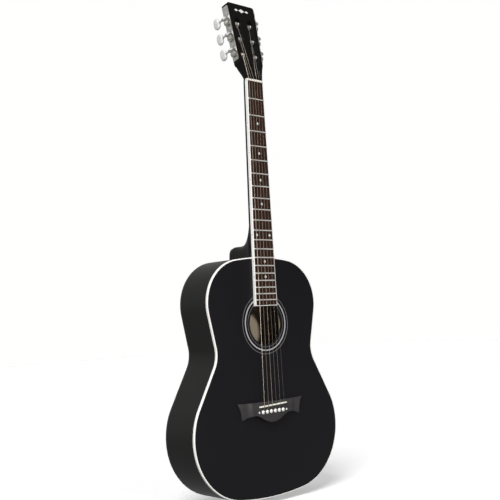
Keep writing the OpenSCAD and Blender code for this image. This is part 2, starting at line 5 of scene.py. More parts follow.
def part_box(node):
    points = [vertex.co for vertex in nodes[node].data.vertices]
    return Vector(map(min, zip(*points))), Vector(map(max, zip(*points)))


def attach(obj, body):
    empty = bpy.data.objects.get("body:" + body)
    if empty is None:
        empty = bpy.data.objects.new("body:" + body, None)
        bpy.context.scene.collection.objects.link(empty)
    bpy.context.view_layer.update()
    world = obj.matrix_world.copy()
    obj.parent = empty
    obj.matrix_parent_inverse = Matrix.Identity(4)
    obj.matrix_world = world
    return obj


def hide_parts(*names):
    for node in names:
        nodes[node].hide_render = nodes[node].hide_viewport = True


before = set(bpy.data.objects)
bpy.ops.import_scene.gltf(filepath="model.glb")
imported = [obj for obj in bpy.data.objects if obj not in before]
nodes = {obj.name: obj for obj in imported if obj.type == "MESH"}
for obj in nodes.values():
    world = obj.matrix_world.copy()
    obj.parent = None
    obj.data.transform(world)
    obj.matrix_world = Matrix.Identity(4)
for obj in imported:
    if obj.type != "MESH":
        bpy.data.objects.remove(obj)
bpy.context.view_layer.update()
mm = 0.001

# ---------- places read from the frame, in millimetres ----------


def low(node):
    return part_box(node)[0] / mm


def high(node):
    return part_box(node)[1] / mm


topY = low("rosette").y            # outer face of the soundboard
boardY = low("fretboard").y        # playing face of the fretboard
tailZ = low("top_binding").z
shoulderZ = high("top_binding").z
nutZ = low("nut").z
headZ = high("nut").z
boardEndZ = low("fretboard_binding").z
holeZ = (low("rosette").z + high("rosette").z) / 2
bridgeTopZ = high("bridge").z
pinZ = (low("bridge_dots").z + high("bridge_dots").z) / 2
backY = high("back_binding").y
scaleZ = nutZ - 648                # theoretical foot of the string length

# ---------- camera, light and floor ----------

view = {"lens": 61.93, "x": -1161, "y": -1276, "z": 168, "yaw": 41.52, "pitch": 4.56, "roll": 2.97}


def makeCamera():
    data = bpy.data.cameras.new("camera")
    data.lens = view["lens"]
    data.sensor_width = 36
    data.clip_start = 0.05
    cam = bpy.data.objects.new("camera", data)
    bpy.context.scene.collection.objects.link(cam)
    yaw, pitch, roll = (math.radians(view[k]) for k in ("yaw", "pitch", "roll"))
    turn = Matrix.Rotation(-yaw, 4, "Z") @ Matrix.Rotation(math.pi / 2 + pitch, 4, "X") @ Matrix.Rotation(-roll, 4, "Z")
    place = Vector((view["x"], topY + view["y"], scaleZ + view["z"])) * mm
    cam.matrix_world = Matrix.Translation(place) @ turn
    bpy.context.scene.camera = cam


def areaLight(name, place, target, size, power, tint=(1, 1, 1)):
    data = bpy.data.lights.new(name, "AREA")
    data.shape = "RECTANGLE"
    data.size, data.size_y = size
    data.energy = power
    data.color = tint
    lamp = bpy.data.objects.new(name, data)
    lamp.location = place
    lamp.rotation_euler = (Vector(target) - Vector(place)).to_track_quat("-Z", "Y").to_euler()
    bpy.context.scene.collection.objects.link(lamp)


def sunLight(name, source, strength, spread):
    data = bpy.data.lights.new(name, "SUN")
    data.energy = strength
    data.angle = math.radians(spread)
    lamp = bpy.data.objects.new(name, data)
    lamp.rotation_euler = (-Vector(source)).to_track_quat("-Z", "Y").to_euler()
    bpy.context.scene.collection.objects.link(lamp)


def makeStudio():
    scene = bpy.context.scene
    scene.view_settings.view_transform = "Standard"
    world = bpy.data.worlds.new("studio")
    world.use_nodes = True
    tree = world.node_tree
    tree.nodes.clear()
    out = tree.nodes.new("ShaderNodeOutputWorld")
    seen = tree.nodes.new("ShaderNodeBackground")
    seen.inputs["Color"].default_value = (1, 0.998, 0.994, 1)
    seen.inputs["Strength"].default_value = 1.0
    fill = tree.nodes.new("ShaderNodeBackground")
    fill.inputs["Color"].default_value = (1, 0.998, 0.994, 1)
    coords = tree.nodes.new("ShaderNodeTexCoord")
    split = tree.nodes.new("ShaderNodeSeparateXYZ")
    # the room is bright towards the back and the left, and darker in front on the right
    side = tree.nodes.new("ShaderNodeMath")
    side.operation = "MULTIPLY_ADD"
    side.inputs[1].default_value = -0.02
    side.inputs[2].default_value = 0.26
    both = tree.nodes.new("ShaderNodeMath")
    both.operation = "MULTIPLY_ADD"
    both.inputs[1].default_value = 0.24
    both.use_clamp = True
    mix = tree.nodes.new("ShaderNodeMixShader")
    path = tree.nodes.new("ShaderNodeLightPath")
    link = tree.links.new
    link(coords.outputs["Generated"], split.inputs[0])
    link(split.outputs["X"], side.inputs[0])
    link(split.outputs["Y"], both.inputs[0])
    link(side.outputs[0], both.inputs[2])
    link(both.outputs[0], fill.inputs["Strength"])
    link(path.outputs["Is Camera Ray"], mix.inputs[0])
    link(fill.outputs[0], mix.inputs[1])
    link(seen.outputs[0], mix.inputs[2])
    link(mix.outputs[0], out.inputs["Surface"])
    scene.world = world
    areaLight("keyLight", (-0.62, -3.1, 0.95), (0, 0, 0.4), (0.32, 0.32), 58)
    sunLight("leftSun", (-0.58, -0.39, 0.72), 2.75, 28)
    bpy.ops.mesh.primitive_plane_add(size=14, location=(0, 0, 0))
    floor = bpy.context.object
    floor.name = "studioFloor"
    return floor


makeCamera()
studioFloor = makeStudio()
print("camera, lights and floor are set")

# ---------- mesh helpers ----------


def addObject(name, points, faces, smooth=True, unit=mm):
    mesh = bpy.data.meshes.new(name)
    mesh.from_pydata([tuple(Vector(p) * unit) for p in points], [], faces)
    bm = bmesh.new()
    bm.from_mesh(mesh)
    bmesh.ops.remove_doubles(bm, verts=bm.verts, dist=1e-6)
    bmesh.ops.recalc_face_normals(bm, faces=bm.faces)
    bm.to_mesh(mesh)
    bm.free()
    obj = bpy.data.objects.new(name, mesh)
    bpy.context.scene.collection.objects.link(obj)
    if smooth:
        shadeSmooth(obj)
    return obj


def shadeSmooth(obj, angle=34):
    for poly in obj.data.polygons:
        poly.use_smooth = True
    bpy.context.view_layer.objects.active = obj
    for other in bpy.context.selected_objects:
        other.select_set(False)
    obj.select_set(True)
    bpy.ops.object.shade_smooth_by_angle(angle=math.radians(angle))


def loftFaces(rows, cols, closed=True, start=0):
    faces = []
    for i in range(rows - 1):
        for j in range(cols if closed else cols - 1):
            k = (j + 1) % cols
            a = start + i * cols
            faces.append((a + j, a + k, a + cols + k, a + cols + j))
    return faces


def loft(name, rings, caps=True, closed=True, smooth=True):
    cols = len(rings[0])
    points = [p for ring in rings for p in ring]
    faces = loftFaces(len(rings), cols, closed)
    if caps:
        faces.append(tuple(range(cols)))
        faces.append(tuple((len(rings) - 1) * cols + j for j in range(cols)))
    return addObject(name, points, faces, smooth)


def lathe(name, profile, matrix=None, turns=32):
    # profile is (radius, height) pairs, turned about local Z
    place = matrix or Matrix.Identity(4)
    rings = []
    for r, h in profile:
        rings.append([place @ Vector((r * math.cos(a), r * math.sin(a), h))
                      for a in (2 * math.pi * j / turns for j in range(turns))])
    return loft(name, rings)


def tube(name, path, radius, sides=10):
    rings = []
    for i, p in enumerate(path):
        ahead = Vector(path[min(i + 1, len(path) - 1)]) - Vector(path[max(i - 1, 0)])
        turn = ahead.to_track_quat("Z", "Y").to_matrix()
        rings.append([Vector(p) + turn @ Vector((radius * math.cos(a), radius * math.sin(a), 0))
                      for a in (2 * math.pi * j / sides for j in range(sides))])
    return loft(name, rings)


def joined(name, parts):
    for other in bpy.context.selected_objects:
        other.select_set(False)
    for part in parts:
        part.select_set(True)
    bpy.context.view_layer.objects.active = parts[0]
    if len(parts) > 1:
        bpy.ops.object.join()
    parts[0].name = name
    return parts[0]


def bevelled(obj, width, segments=3, angle=35):
    mod = obj.modifiers.new("edge", "BEVEL")
    mod.width = width * mm
    mod.segments = segments
    mod.limit_method = "ANGLE"
    mod.angle_limit = math.radians(angle)
    mod.harden_normals = True
    return obj


def filledPlate(name, loops, place, depth):
    # first loop is the outline, the others are holes; place maps (a, b, depth) to millimetres
    bm = bmesh.new()
    for loop in loops:
        corners = [bm.verts.new(place(a, b, 0) * mm) for a, b in loop]
        for i, v in enumerate(corners):
            bm.edges.new((v, corners[(i + 1) % len(corners)]))
    bmesh.ops.triangle_fill(bm, use_beauty=True, edges=bm.edges[:])
    made = bmesh.ops.extrude_face_region(bm, geom=bm.faces[:])
    push = (place(0, 0, depth) - place(0, 0, 0)) * mm
    bmesh.ops.translate(bm, vec=push, verts=[g for g in made["geom"] if isinstance(g, bmesh.types.BMVert)])
    bmesh.ops.recalc_face_normals(bm, faces=bm.faces)
    mesh = bpy.data.meshes.new(name)
    bm.to_mesh(mesh)
    bm.free()
    obj = bpy.data.objects.new(name, mesh)
    bpy.context.scene.collection.objects.link(obj)
    return obj


def blockMesh(name, lo, hi, place=None, width=0.4):
    place = place or Matrix.Identity(4)
    pts = [place @ Vector((x, y, z)) for x in (lo[0], hi[0]) for y in (lo[1], hi[1]) for z in (lo[2], hi[2])]
    faces = [(0, 1, 3, 2), (4, 6, 7, 5), (0, 4, 5, 1), (2, 3, 7, 6), (0, 2, 6, 4), (1, 5, 7, 3)]
    return bevelled(addObject(name, pts, faces, smooth=False), width)


def smoothStep(a, b, x):
    t = min(1, max(0, (x - a) / (b - a)))
    return t * t * (3 - 2 * t)


def dress(obj, body, material, replaced=()):
    if material:
        obj.data.materials.clear()
        obj.data.materials.append(material)
    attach(obj, body)
    if replaced:
        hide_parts(*replaced)
    return obj


# ---------- shader groups ----------


def newGroup(name, inputs, outputs):
    group = bpy.data.node_groups.new(name, "ShaderNodeTree")
    for label, kind, value in inputs:
        socket = group.interface.new_socket(name=label, in_out="INPUT", socket_type="NodeSocket" + kind)
        if value is not None:
            socket.default_value = value
    for label, kind in outputs:
        group.interface.new_socket(name=label, in_out="OUTPUT", socket_type="NodeSocket" + kind)
    return group, group.nodes.new("NodeGroupInput"), group.nodes.new("NodeGroupOutput")


def mathNode(tree, operation, a, b=None, c=None, clamp=False):
    node = tree.nodes.new("ShaderNodeMath")
    node.operation = operation
    node.use_clamp = clamp
    for i, v in enumerate((a, b, c)):
        if v is None:
            continue
        if isinstance(v, (int, float)):
            node.inputs[i].default_value = v
        else:
            tree.links.new(v, node.inputs[i])
    return node.outputs[0]


def mixColour(tree, factor, a, b, mode="MIX"):
    node = tree.nodes.new("ShaderNodeMix")
    node.data_type = "RGBA"
    node.blend_type = mode
    for i, v in ((0, factor), (6, a), (7, b)):
        if isinstance(v, (int, float)) or isinstance(v, tuple):
            node.inputs[i].default_value = v
        else:
            tree.links.new(v, node.inputs[i])
    return node.outputs[2]


def noiseNode(tree, vector, scale, detail=3, rough=0.55, distortion=0):
    node = tree.nodes.new("ShaderNodeTexNoise")
    node.inputs["Detail"].default_value = detail
    node.inputs["Roughness"].default_value = rough
    node.inputs["Distortion"].default_value = distortion
    if isinstance(scale, (int, float)):
        node.inputs["Scale"].default_value = scale
    else:
        tree.links.new(scale, node.inputs["Scale"])
    if vector is not None:
        tree.links.new(vector, node.inputs["Vector"])
    return node.outputs["Fac"]


def stretched(tree, vector, stretch):
    node = tree.nodes.new("ShaderNodeVectorMath")
    node.operation = "MULTIPLY"
    tree.links.new(vector, node.inputs[0])
    if isinstance(stretch, tuple):
        node.inputs[1].default_value = stretch
    else:
        tree.links.new(stretch, node.inputs[1])
    return node.outputs[0]


def woodGrainGroup():
    # long fibres along local Z, with growth lines across and open pores
    group, gin, gout = newGroup("woodGrain",
                                [("Vector", "Vector", None), ("Stretch", "Vector", (1, 1, 0.04)), ("Lines", "Float", 220.0),
                                 ("Pores", "Float", 900.0)],
                                [("Line", "Float"), ("Pore", "Float"), ("Height", "Float")])
    v = stretched(group, gin.outputs["Vector"], gin.outputs["Stretch"])
    line = noiseNode(group, v, gin.outputs["Lines"], 4, 0.6, 0.4)
    pore = noiseNode(group, v, gin.outputs["Pores"], 2, 0.7)
    poreMask = mathNode(group, "GREATER_THAN", pore, 0.6)
    height = mathNode(group, "SUBTRACT", line, mathNode(group, "MULTIPLY", poreMask, 0.35))
    group.links.new(line, gout.inputs["Line"])
    group.links.new(poreMask, gout.inputs["Pore"])
    group.links.new(height, gout.inputs["Height"])
    return group


def edgeWearGroup():
    # bright on outer edges, broken up by noise
    group, gin, gout = newGroup("edgeWear", [("Size", "Float", 0.0012), ("Break", "Float", 160.0), ("Amount", "Float", 1.0)],
                                [("Mask", "Float")])
    bevel = group.nodes.new("ShaderNodeBevel")
    bevel.samples = 4
    group.links.new(gin.outputs["Size"], bevel.inputs["Radius"])
    geo = group.nodes.new("ShaderNodeNewGeometry")
    dot = group.nodes.new("ShaderNodeVectorMath")
    dot.operation = "DOT_PRODUCT"
    group.links.new(bevel.outputs[0], dot.inputs[0])
    group.links.new(geo.outputs["Normal"], dot.inputs[1])
    edge = mathNode(group, "SUBTRACT", 1.0, dot.outputs["Value"])
    coords = group.nodes.new("ShaderNodeTexCoord")
    speck = noiseNode(group, coords.outputs["Object"], gin.outputs["Break"], 3)
    worn = mathNode(group, "MULTIPLY", mathNode(group, "MULTIPLY", edge, 4.0), speck)
    mask = mathNode(group, "MULTIPLY", worn, gin.outputs["Amount"], clamp=True)
    group.links.new(mask, gout.inputs["Mask"])
    return group


def handlingGroup():
    # dust, rubbed patches and faint hairlines for roughness
    group, gin, gout = newGroup("handling", [("Base", "Float", 0.4), ("Spread", "Float", 0.12), ("Scale", "Float", 14.0)],
                                [("Roughness", "Float"), ("Patch", "Float"), ("Fine", "Float")])
    coords = group.nodes.new("ShaderNodeTexCoord")
    patch = noiseNode(group, coords.outputs["Object"], gin.outputs["Scale"], 4, 0.6)
    fine = noiseNode(group, stretched(group, coords.outputs["Object"], (1.0, 1.0, 0.35)), 2600, 2)
    both = mathNode(group, "ADD", mathNode(group, "MULTIPLY", patch, 0.8), mathNode(group, "MULTIPLY", fine, 0.2))
    swing = mathNode(group, "MULTIPLY_ADD", mathNode(group, "SUBTRACT", both, 0.5), gin.outputs["Spread"], gin.outputs["Base"])
    group.links.new(swing, gout.inputs["Roughness"])
    group.links.new(patch, gout.inputs["Patch"])
    group.links.new(fine, gout.inputs["Fine"])
    return group


grainGroup = woodGrainGroup()
wearGroup = edgeWearGroup()
handGroup = handlingGroup()


def placeGroup(tree, group, **values):
    node = tree.nodes.new("ShaderNodeGroup")
    node.node_tree = group
    for label, value in values.items():
        node.inputs[label].default_value = value
    return node


def startMaterial(name, **sockets):
    mat = bpy.data.materials.new(name)
    mat.use_nodes = True
    tree = mat.node_tree
    shader = tree.nodes["Principled BSDF"]
    for label, value in sockets.items():
        shader.inputs[label.replace("_", " ")].default_value = value
    return mat, tree, shader


def bump(tree, shader, height, strength, distance):
    node = tree.nodes.new("ShaderNodeBump")
    node.inputs["Strength"].default_value = strength
    node.inputs["Distance"].default_value = distance
    tree.links.new(height, node.inputs["Height"])
    tree.links.new(node.outputs[0], shader.inputs["Normal"])


def objectCoords(tree):
    return tree.nodes.new("ShaderNodeTexCoord").outputs["Object"]


def lacquer(name, look):
    # thin satin lacquer over stained wood: grain telegraphs through, edges catch a little wear
    mat, tree, shader = startMaterial(name, Specular_IOR_Level=look["shine"], Coat_Roughness=look["coatRough"])
    grain = placeGroup(tree, grainGroup, Stretch=look["stretch"], Lines=look["lines"], Pores=look["pores"])
    tree.links.new(objectCoords(tree), grain.inputs["Vector"])
    hand = placeGroup(tree, handGroup, Base=look["rough"], Spread=look["spread"], Scale=9.0)
    wear = placeGroup(tree, wearGroup, Size=0.0009, Break=240.0, Amount=look["wear"])
    tint = mixColour(tree, grain.outputs["Line"], look["dark"], look["light"])
    tint = mixColour(tree, wear.outputs["Mask"], tint, look["worn"])
    tree.links.new(tint, shader.inputs["Base Color"])
    tree.links.new(hand.outputs["Roughness"], shader.inputs["Roughness"])
    coat = mathNode(tree, "MULTIPLY_ADD", hand.outputs["Patch"], 0.1, look["coat"])
    tree.links.new(coat, shader.inputs["Coat Weight"])
    bump(tree, shader, grain.outputs["Height"], look["relief"], 0.0001)
    return mat


def bareWood(name, look):
    mat, tree, shader = startMaterial(name, Specular_IOR_Level=look.get("shine", 0.3))
    grain = placeGroup(tree, grainGroup, Stretch=look["stretch"], Lines=look["lines"], Pores=look["pores"])
    tree.links.new(objectCoords(tree), grain.inputs["Vector"])
    hand = placeGroup(tree, handGroup, Base=look["rough"], Spread=0.16, Scale=22.0)
    tint = mixColour(tree, grain.outputs["Line"], look["dark"], look["light"])
    tint = mixColour(tree, mathNode(tree, "MULTIPLY", grain.outputs["Pore"], 0.6), tint, look["pore"])
    tint = mixColour(tree, mathNode(tree, "MULTIPLY", hand.outputs["Patch"], look["patch"]), tint, look["dark"])
    tree.links.new(tint, shader.inputs["Base Color"])
    tree.links.new(hand.outputs["Roughness"], shader.inputs["Roughness"])
    bump(tree, shader, grain.outputs["Height"], look["relief"], 0.0002)
    return mat


def plasticLike(name, look):
    # celluloid, bone and moulded plastic: slight depth of colour and handling marks
    mat, tree, shader = startMaterial(name, Specular_IOR_Level=look.get("shine", 0.5), Subsurface_Weight=look.get("soft", 0.0),
                                      Subsurface_Scale=0.002)
    hand = placeGroup(tree, handGroup, Base=look["rough"], Spread=0.14, Scale=look.get("scale", 40.0))
    wear = placeGroup(tree, wearGroup, Size=0.0005, Break=500.0, Amount=look.get("wear", 0.3))
    tint = mixColour(tree, hand.outputs["Patch"], look["dark"], look["light"])
    tint = mixColour(tree, wear.outputs["Mask"], tint, look["worn"])
    tree.links.new(tint, shader.inputs["Base Color"])
    tree.links.new(hand.outputs["Roughness"], shader.inputs["Roughness"])
    bump(tree, shader, hand.outputs["Fine"], 0.06, 0.0001)
    return mat


def pearlLike(name, look):
    # shell or pearloid: drifting cloudy cells of cool and warm white
    mat, tree, shader = startMaterial(name, Specular_IOR_Level=0.6, Coat_Weight=0.5, Coat_Roughness=0.08)
    cells = tree.nodes.new("ShaderNodeTexVoronoi")
    cells.inputs["Scale"].default_value = look["cells"]
    warp = noiseNode(tree, objectCoords(tree), look["cells"] * 0.8, 3, 0.6, 1.2)
    tree.links.new(objectCoords(tree), cells.inputs["Vector"])
    cloud = mathNode(tree, "ADD", mathNode(tree, "MULTIPLY", cells.outputs["Distance"], 0.7), mathNode(tree, "MULTIPLY", warp, 0.6))
    tint = mixColour(tree, cloud, look["dark"], look["light"])
    tree.links.new(tint, shader.inputs["Base Color"])
    hand = placeGroup(tree, handGroup, Base=look["rough"], Spread=0.1, Scale=60.0)
    tree.links.new(hand.outputs["Roughness"], shader.inputs["Roughness"])
    bump(tree, shader, cloud, 0.05, 0.0001)
    return mat


def metal(name, look):
    mat, tree, shader = startMaterial(name)
    hand = placeGroup(tree, handGroup, Base=look["rough"], Spread=look["spread"], Scale=look.get("scale", 70.0))
    wear = placeGroup(tree, wearGroup, Size=0.0004, Break=420.0, Amount=look["wear"])
    brushed = noiseNode(tree, stretched(tree, objectCoords(tree), look["brush"]), 900, 2)
    tint = mixColour(tree, hand.outputs["Patch"], look["dark"], look["light"])
    tint = mixColour(tree, wear.outputs["Mask"], tint, look["worn"])
    tree.links.new(tint, shader.inputs["Base Color"])
    bare = mathNode(tree, "MULTIPLY_ADD", hand.outputs["Patch"], -0.06, look.get("bare", 1.0))
    tree.links.new(bare, shader.inputs["Metallic"])
    tree.links.new(hand.outputs["Roughness"], shader.inputs["Roughness"])
    bump(tree, shader, brushed, look["relief"], 0.0001)
    return mat


def floorMaterial():
    # bright paper: the camera sees it almost white, and its bounce on to the guitar is kept even
    mat, tree, shader = startMaterial("studioFloorPaint", Specular_IOR_Level=0.0, Roughness=0.9, Emission_Strength=0.3)
    patch = noiseNode(tree, objectCoords(tree), 3.0, 4)
    tree.links.new(mixColour(tree, patch, (0.78, 0.78, 0.78, 1), (0.8, 0.8, 0.8, 1)), shader.inputs["Base Color"])
    shader.inputs["Emission Color"].default_value = (1, 1, 1, 1)
    bounce = tree.nodes.new("ShaderNodeEmission")
    bounce.inputs["Strength"].default_value = 0.3
    path = tree.nodes.new("ShaderNodeLightPath")
    mix = tree.nodes.new("ShaderNodeMixShader")
    tree.links.new(path.outputs["Is Camera Ray"], mix.inputs[0])
    tree.links.new(bounce.outputs[0], mix.inputs[1])
    tree.links.new(shader.outputs[0], mix.inputs[2])
    tree.links.new(mix.outputs[0], tree.nodes["Material Output"].inputs["Surface"])
    return mat


def rgb(r, g, b):
    return (r, g, b, 1)


finishes = {
    "top": lacquer("topLacquer", {"shine": 0.2, "coat": 0.0, "coatRough": 0.16, "stretch": (1, 1, 0.02), "lines": 420.0,
                                  "pores": 900.0, "rough": 0.42, "spread": 0.1, "wear": 0.1, "relief": 0.08,
                                  "dark": rgb(0.005, 0.0044, 0.0056), "light": rgb(0.0068, 0.006, 0.0074), "worn": rgb(0.03, 0.029, 0.03)}),
    "body": lacquer("bodyLacquer", {"shine": 0.22, "coat": 0.03, "coatRough": 0.2, "stretch": (1, 1, 0.03), "lines": 260.0,
                                    "pores": 700.0, "rough": 0.38, "spread": 0.12, "wear": 0.12, "relief": 0.12,
                                    "dark": rgb(0.0066, 0.0063, 0.006), "light": rgb(0.009, 0.0086, 0.0081), "worn": rgb(0.04, 0.036, 0.032)}),
    "neck": lacquer("neckLacquer", {"shine": 0.1, "coat": 0.0, "coatRough": 0.18, "stretch": (1, 1, 0.03), "lines": 300.0,
                                    "pores": 800.0, "rough": 0.34, "spread": 0.12, "wear": 0.15, "relief": 0.1,
                                    "dark": rgb(0.0048, 0.0045, 0.0042), "light": rgb(0.0068, 0.0063, 0.0059), "worn": rgb(0.05, 0.04, 0.032)}),
    "veneer": lacquer("veneerLacquer", {"shine": 0.15, "coat": 0.0, "coatRough": 0.12, "stretch": (1, 1, 0.03), "lines": 320.0,
                                        "pores": 900.0, "rough": 0.36, "spread": 0.1, "wear": 0.15, "relief": 0.08,
                                        "dark": rgb(0.004, 0.0034, 0.003), "light": rgb(0.0058, 0.005, 0.0044), "worn": rgb(0.035, 0.03, 0.027)}),
    "spruce": bareWood("spruceWood", {"stretch": (1, 1, 0.03), "lines": 500.0, "pores": 1200.0, "rough": 0.6, "patch": 0.2, "relief": 0.15,
                                      "dark": rgb(0.5, 0.34, 0.18), "light": rgb(0.66, 0.5, 0.31), "pore": rgb(0.42, 0.27, 0.14)}),
    "mahogany": bareWood("innerMahogany", {"stretch": (1, 1, 0.03), "lines": 260.0, "pores": 700.0, "rough": 0.62, "patch": 0.25, "relief": 0.2,
                                           "dark": rgb(0.33, 0.27, 0.19), "light": rgb(0.46, 0.4, 0.3), "pore": rgb(0.22, 0.17, 0.11)}),
    "rosewood": bareWood("boardRosewood", {"shine": 0.15, "stretch": (1, 1, 0.02), "lines": 420.0, "pores": 800.0, "rough": 0.5, "patch": 0.4, "relief": 0.25,
                                           "dark": rgb(0.02, 0.0078, 0.0042), "light": rgb(0.047, 0.02, 0.0105), "pore": rgb(0.012, 0.006, 0.004)}),
    "bridgeWood": bareWood("bridgeRosewood", {"stretch": (0.03, 1, 1), "lines": 420.0, "pores": 900.0, "rough": 0.55, "patch": 0.3, "relief": 0.22,
                                              "dark": rgb(0.027, 0.0245, 0.0245), "light": rgb(0.049, 0.045, 0.045), "pore": rgb(0.018, 0.017, 0.018)}),
    "ivoroid": plasticLike("whiteBindingStrip", {"rough": 0.32, "dark": rgb(0.84, 0.83, 0.79), "light": rgb(0.92, 0.91, 0.88),
                                                 "worn": rgb(0.88, 0.87, 0.84), "soft": 0.05}),
    "blackStrip": plasticLike("blackBindingStrip", {"rough": 0.34, "dark": rgb(0.008, 0.008, 0.008), "light": rgb(0.012, 0.012, 0.012),
                                                    "worn": rgb(0.03, 0.03, 0.03)}),
    "bone": plasticLike("polishedBone", {"rough": 0.28, "dark": rgb(0.72, 0.69, 0.6), "light": rgb(0.84, 0.82, 0.75),
                                         "worn": rgb(0.88, 0.87, 0.82), "soft": 0.1, "scale": 300.0}),
    "pinPlastic": plasticLike("pinPlastic", {"rough": 0.22, "dark": rgb(0.78, 0.77, 0.72), "light": rgb(0.86, 0.855, 0.82),
                                             "worn": rgb(0.9, 0.9, 0.88), "soft": 0.05, "scale": 200.0}),
    "rosette": plasticLike("rosetteInlay", {"rough": 0.36, "dark": rgb(0.34, 0.33, 0.335), "light": rgb(0.5, 0.49, 0.495),
                                            "worn": rgb(0.6, 0.6, 0.6), "scale": 500.0}),
    "rosetteFine": plasticLike("rosetteFine", {"rough": 0.36, "dark": rgb(0.1, 0.1, 0.105), "light": rgb(0.17, 0.17, 0.175),
                                               "worn": rgb(0.3, 0.3, 0.3), "scale": 500.0}),
    "pearl": pearlLike("shellInlay", {"cells": 420.0, "rough": 0.2, "dark": rgb(0.5, 0.52, 0.54), "light": rgb(0.85, 0.86, 0.83)}),
    "button": pearlLike("buttonPearl", {"cells": 210.0, "rough": 0.22, "dark": rgb(0.5, 0.515, 0.51), "light": rgb(0.8, 0.81, 0.79)}),
    "nickel": metal("nickelPlate", {"rough": 0.38, "spread": 0.2, "wear": 0.5, "brush": (1, 1, 0.1), "relief": 0.08,
                                    "dark": rgb(0.58, 0.57, 0.55), "light": rgb(0.77, 0.76, 0.74), "worn": rgb(0.86, 0.85, 0.83)}),
    "brass": metal("gearBrass", {"rough": 0.42, "spread": 0.2, "wear": 0.5, "brush": (1, 0.1, 0.1), "relief": 0.1,
                                 "dark": rgb(0.42, 0.4, 0.36), "light": rgb(0.6, 0.575, 0.52), "worn": rgb(0.78, 0.75, 0.68)}),
    "steel": metal("bareSteel", {"rough": 0.3, "spread": 0.15, "wear": 0.3, "brush": (0.1, 1, 1), "relief": 0.06,
                                 "dark": rgb(0.45, 0.45, 0.46), "light": rgb(0.6, 0.6, 0.6), "worn": rgb(0.75, 0.75, 0.75)}),
    "fretWire": metal("fretWire", {"bare": 0.5, "rough": 0.5, "spread": 0.12, "wear": 0.4, "brush": (0.1, 1, 1), "relief": 0.05,
                                   "dark": rgb(0.72, 0.7, 0.66), "light": rgb(0.86, 0.84, 0.8), "worn": rgb(0.92, 0.9, 0.86)}),
    "bronze": metal("woundBronze", {"rough": 0.36, "spread": 0.14, "wear": 0.2, "brush": (0.2, 0.2, 1.6), "relief": 0.35,
                                    "dark": rgb(0.3, 0.255, 0.215), "light": rgb(0.46, 0.4, 0.345), "worn": rgb(0.6, 0.54, 0.46)}),
    "plainSteel": metal("plainString", {"rough": 0.5, "spread": 0.1, "wear": 0.2, "brush": (1, 1, 0.1), "relief": 0.05,
                                        "dark": rgb(0.26, 0.25, 0.24), "light": rgb(0.38, 0.37, 0.36), "worn": rgb(0.5, 0.5, 0.5)}),
}
studioFloor.data.materials.append(floorMaterial())
print("materials are made")

# ---------- outline of the body ----------

bodyShape = {"lowerUp": 129, "waistUp": 288, "upperUp": 382, "waistW": 255, "upperW": 289, "tailR": 572, "waistR": 56,
             "upperR": 88, "side": 2.2, "bind": 4.5, "plate": 2.8, "dome": 2.6, "domeRun": 75, "holeR": 42,
             "backRise": math.asin(7 / 474), "depth": 97}
bodyShape["lowerHalf"] = high("top_binding").x


def arcPoints(centre, r, a0, a1, n):
    steps = (math.radians(a0 + (a1 - a0) * i / n) for i in range(n))
    return [(centre[0] + r * math.cos(a), centre[1] + r * math.sin(a)) for a in steps]


def bearing(a, b):
    angle = math.degrees(math.atan2(b[1] - a[1], b[0] - a[0]))
    return angle + (360 if b[1] < a[1] else 0)


def bodyHalf(inset):
    # right half from tail to shoulder, as tangent arcs moved inwards by inset
    s = bodyShape
    lowerZ, waistZ, upperZ = tailZ + s["lowerUp"], tailZ + s["waistUp"], tailZ + s["upperUp"]
    tailC = tailZ + s["tailR"]
    lowerR = (s["tailR"] ** 2 - s["lowerHalf"] ** 2 - (lowerZ - tailC) ** 2) / (2 * (s["tailR"] - s["lowerHalf"]))
    drop = upperZ - shoulderZ
    upperHalf = s["upperW"] / 2
    topR = (s["upperR"] ** 2 - (upperHalf - s["upperR"]) ** 2 - drop ** 2) / (2 * (drop + s["upperR"]))
    lowerC, waistC, upperC = (s["lowerHalf"] - lowerR, lowerZ), (s["waistW"] / 2 + s["waistR"], waistZ), (upperHalf - s["upperR"], upperZ)
    tailA = math.degrees(math.atan2(lowerZ - tailC, lowerC[0]))
    topA = math.degrees(math.atan2(upperZ - shoulderZ + topR, upperC[0]))
    lowA = bearing(lowerC, waistC) - math.degrees(math.acos((lowerR + s["waistR"]) / math.dist(waistC, lowerC)))
    upA = bearing(upperC, waistC) + math.degrees(math.acos((s["upperR"] + s["waistR"]) / math.dist(waistC, upperC))) - 360
    return (arcPoints((0, tailC), s["tailR"] - inset, -90, tailA, 16)
            + arcPoints(lowerC, lowerR - inset, tailA, lowA, 44)
            + arcPoints(waistC, s["waistR"] + inset, lowA + 180, upA + 180, 24)
            + arcPoints(upperC, s["upperR"] - inset, upA, topA, 36)
            + arcPoints((0, shoulderZ - topR), topR - inset, topA, 90, 14)
            + [(0, shoulderZ - inset)])


def bodyLoop(inset):
    half = bodyHalf(inset)
    return half + [(-x, z) for x, z in reversed(half[1:-1])]


def sag(x, z, inset):
    # the plates are domed: low at the rim, level in the middle and under the neck
    s = bodyShape
    waistZ = tailZ + s["waistUp"]
    calm = smoothStep(waistZ, waistZ + 60, z) * (1 - smoothStep(34, 104, abs(x)))
    return s["dome"] * max(0, 1 - inset / s["domeRun"]) ** 2 * (1 - calm)


def frontFace(x, z, inset, shift=0):
    return Vector((x, topY + sag(x, z, inset) + shift, z))


def backFace(x, z, inset, shift=0):
    plane = topY + bodyShape["depth"] - math.tan(bodyShape["backRise"]) * (z - tailZ)
    return Vector((x, plane - sag(x, z, inset) - shift, z))


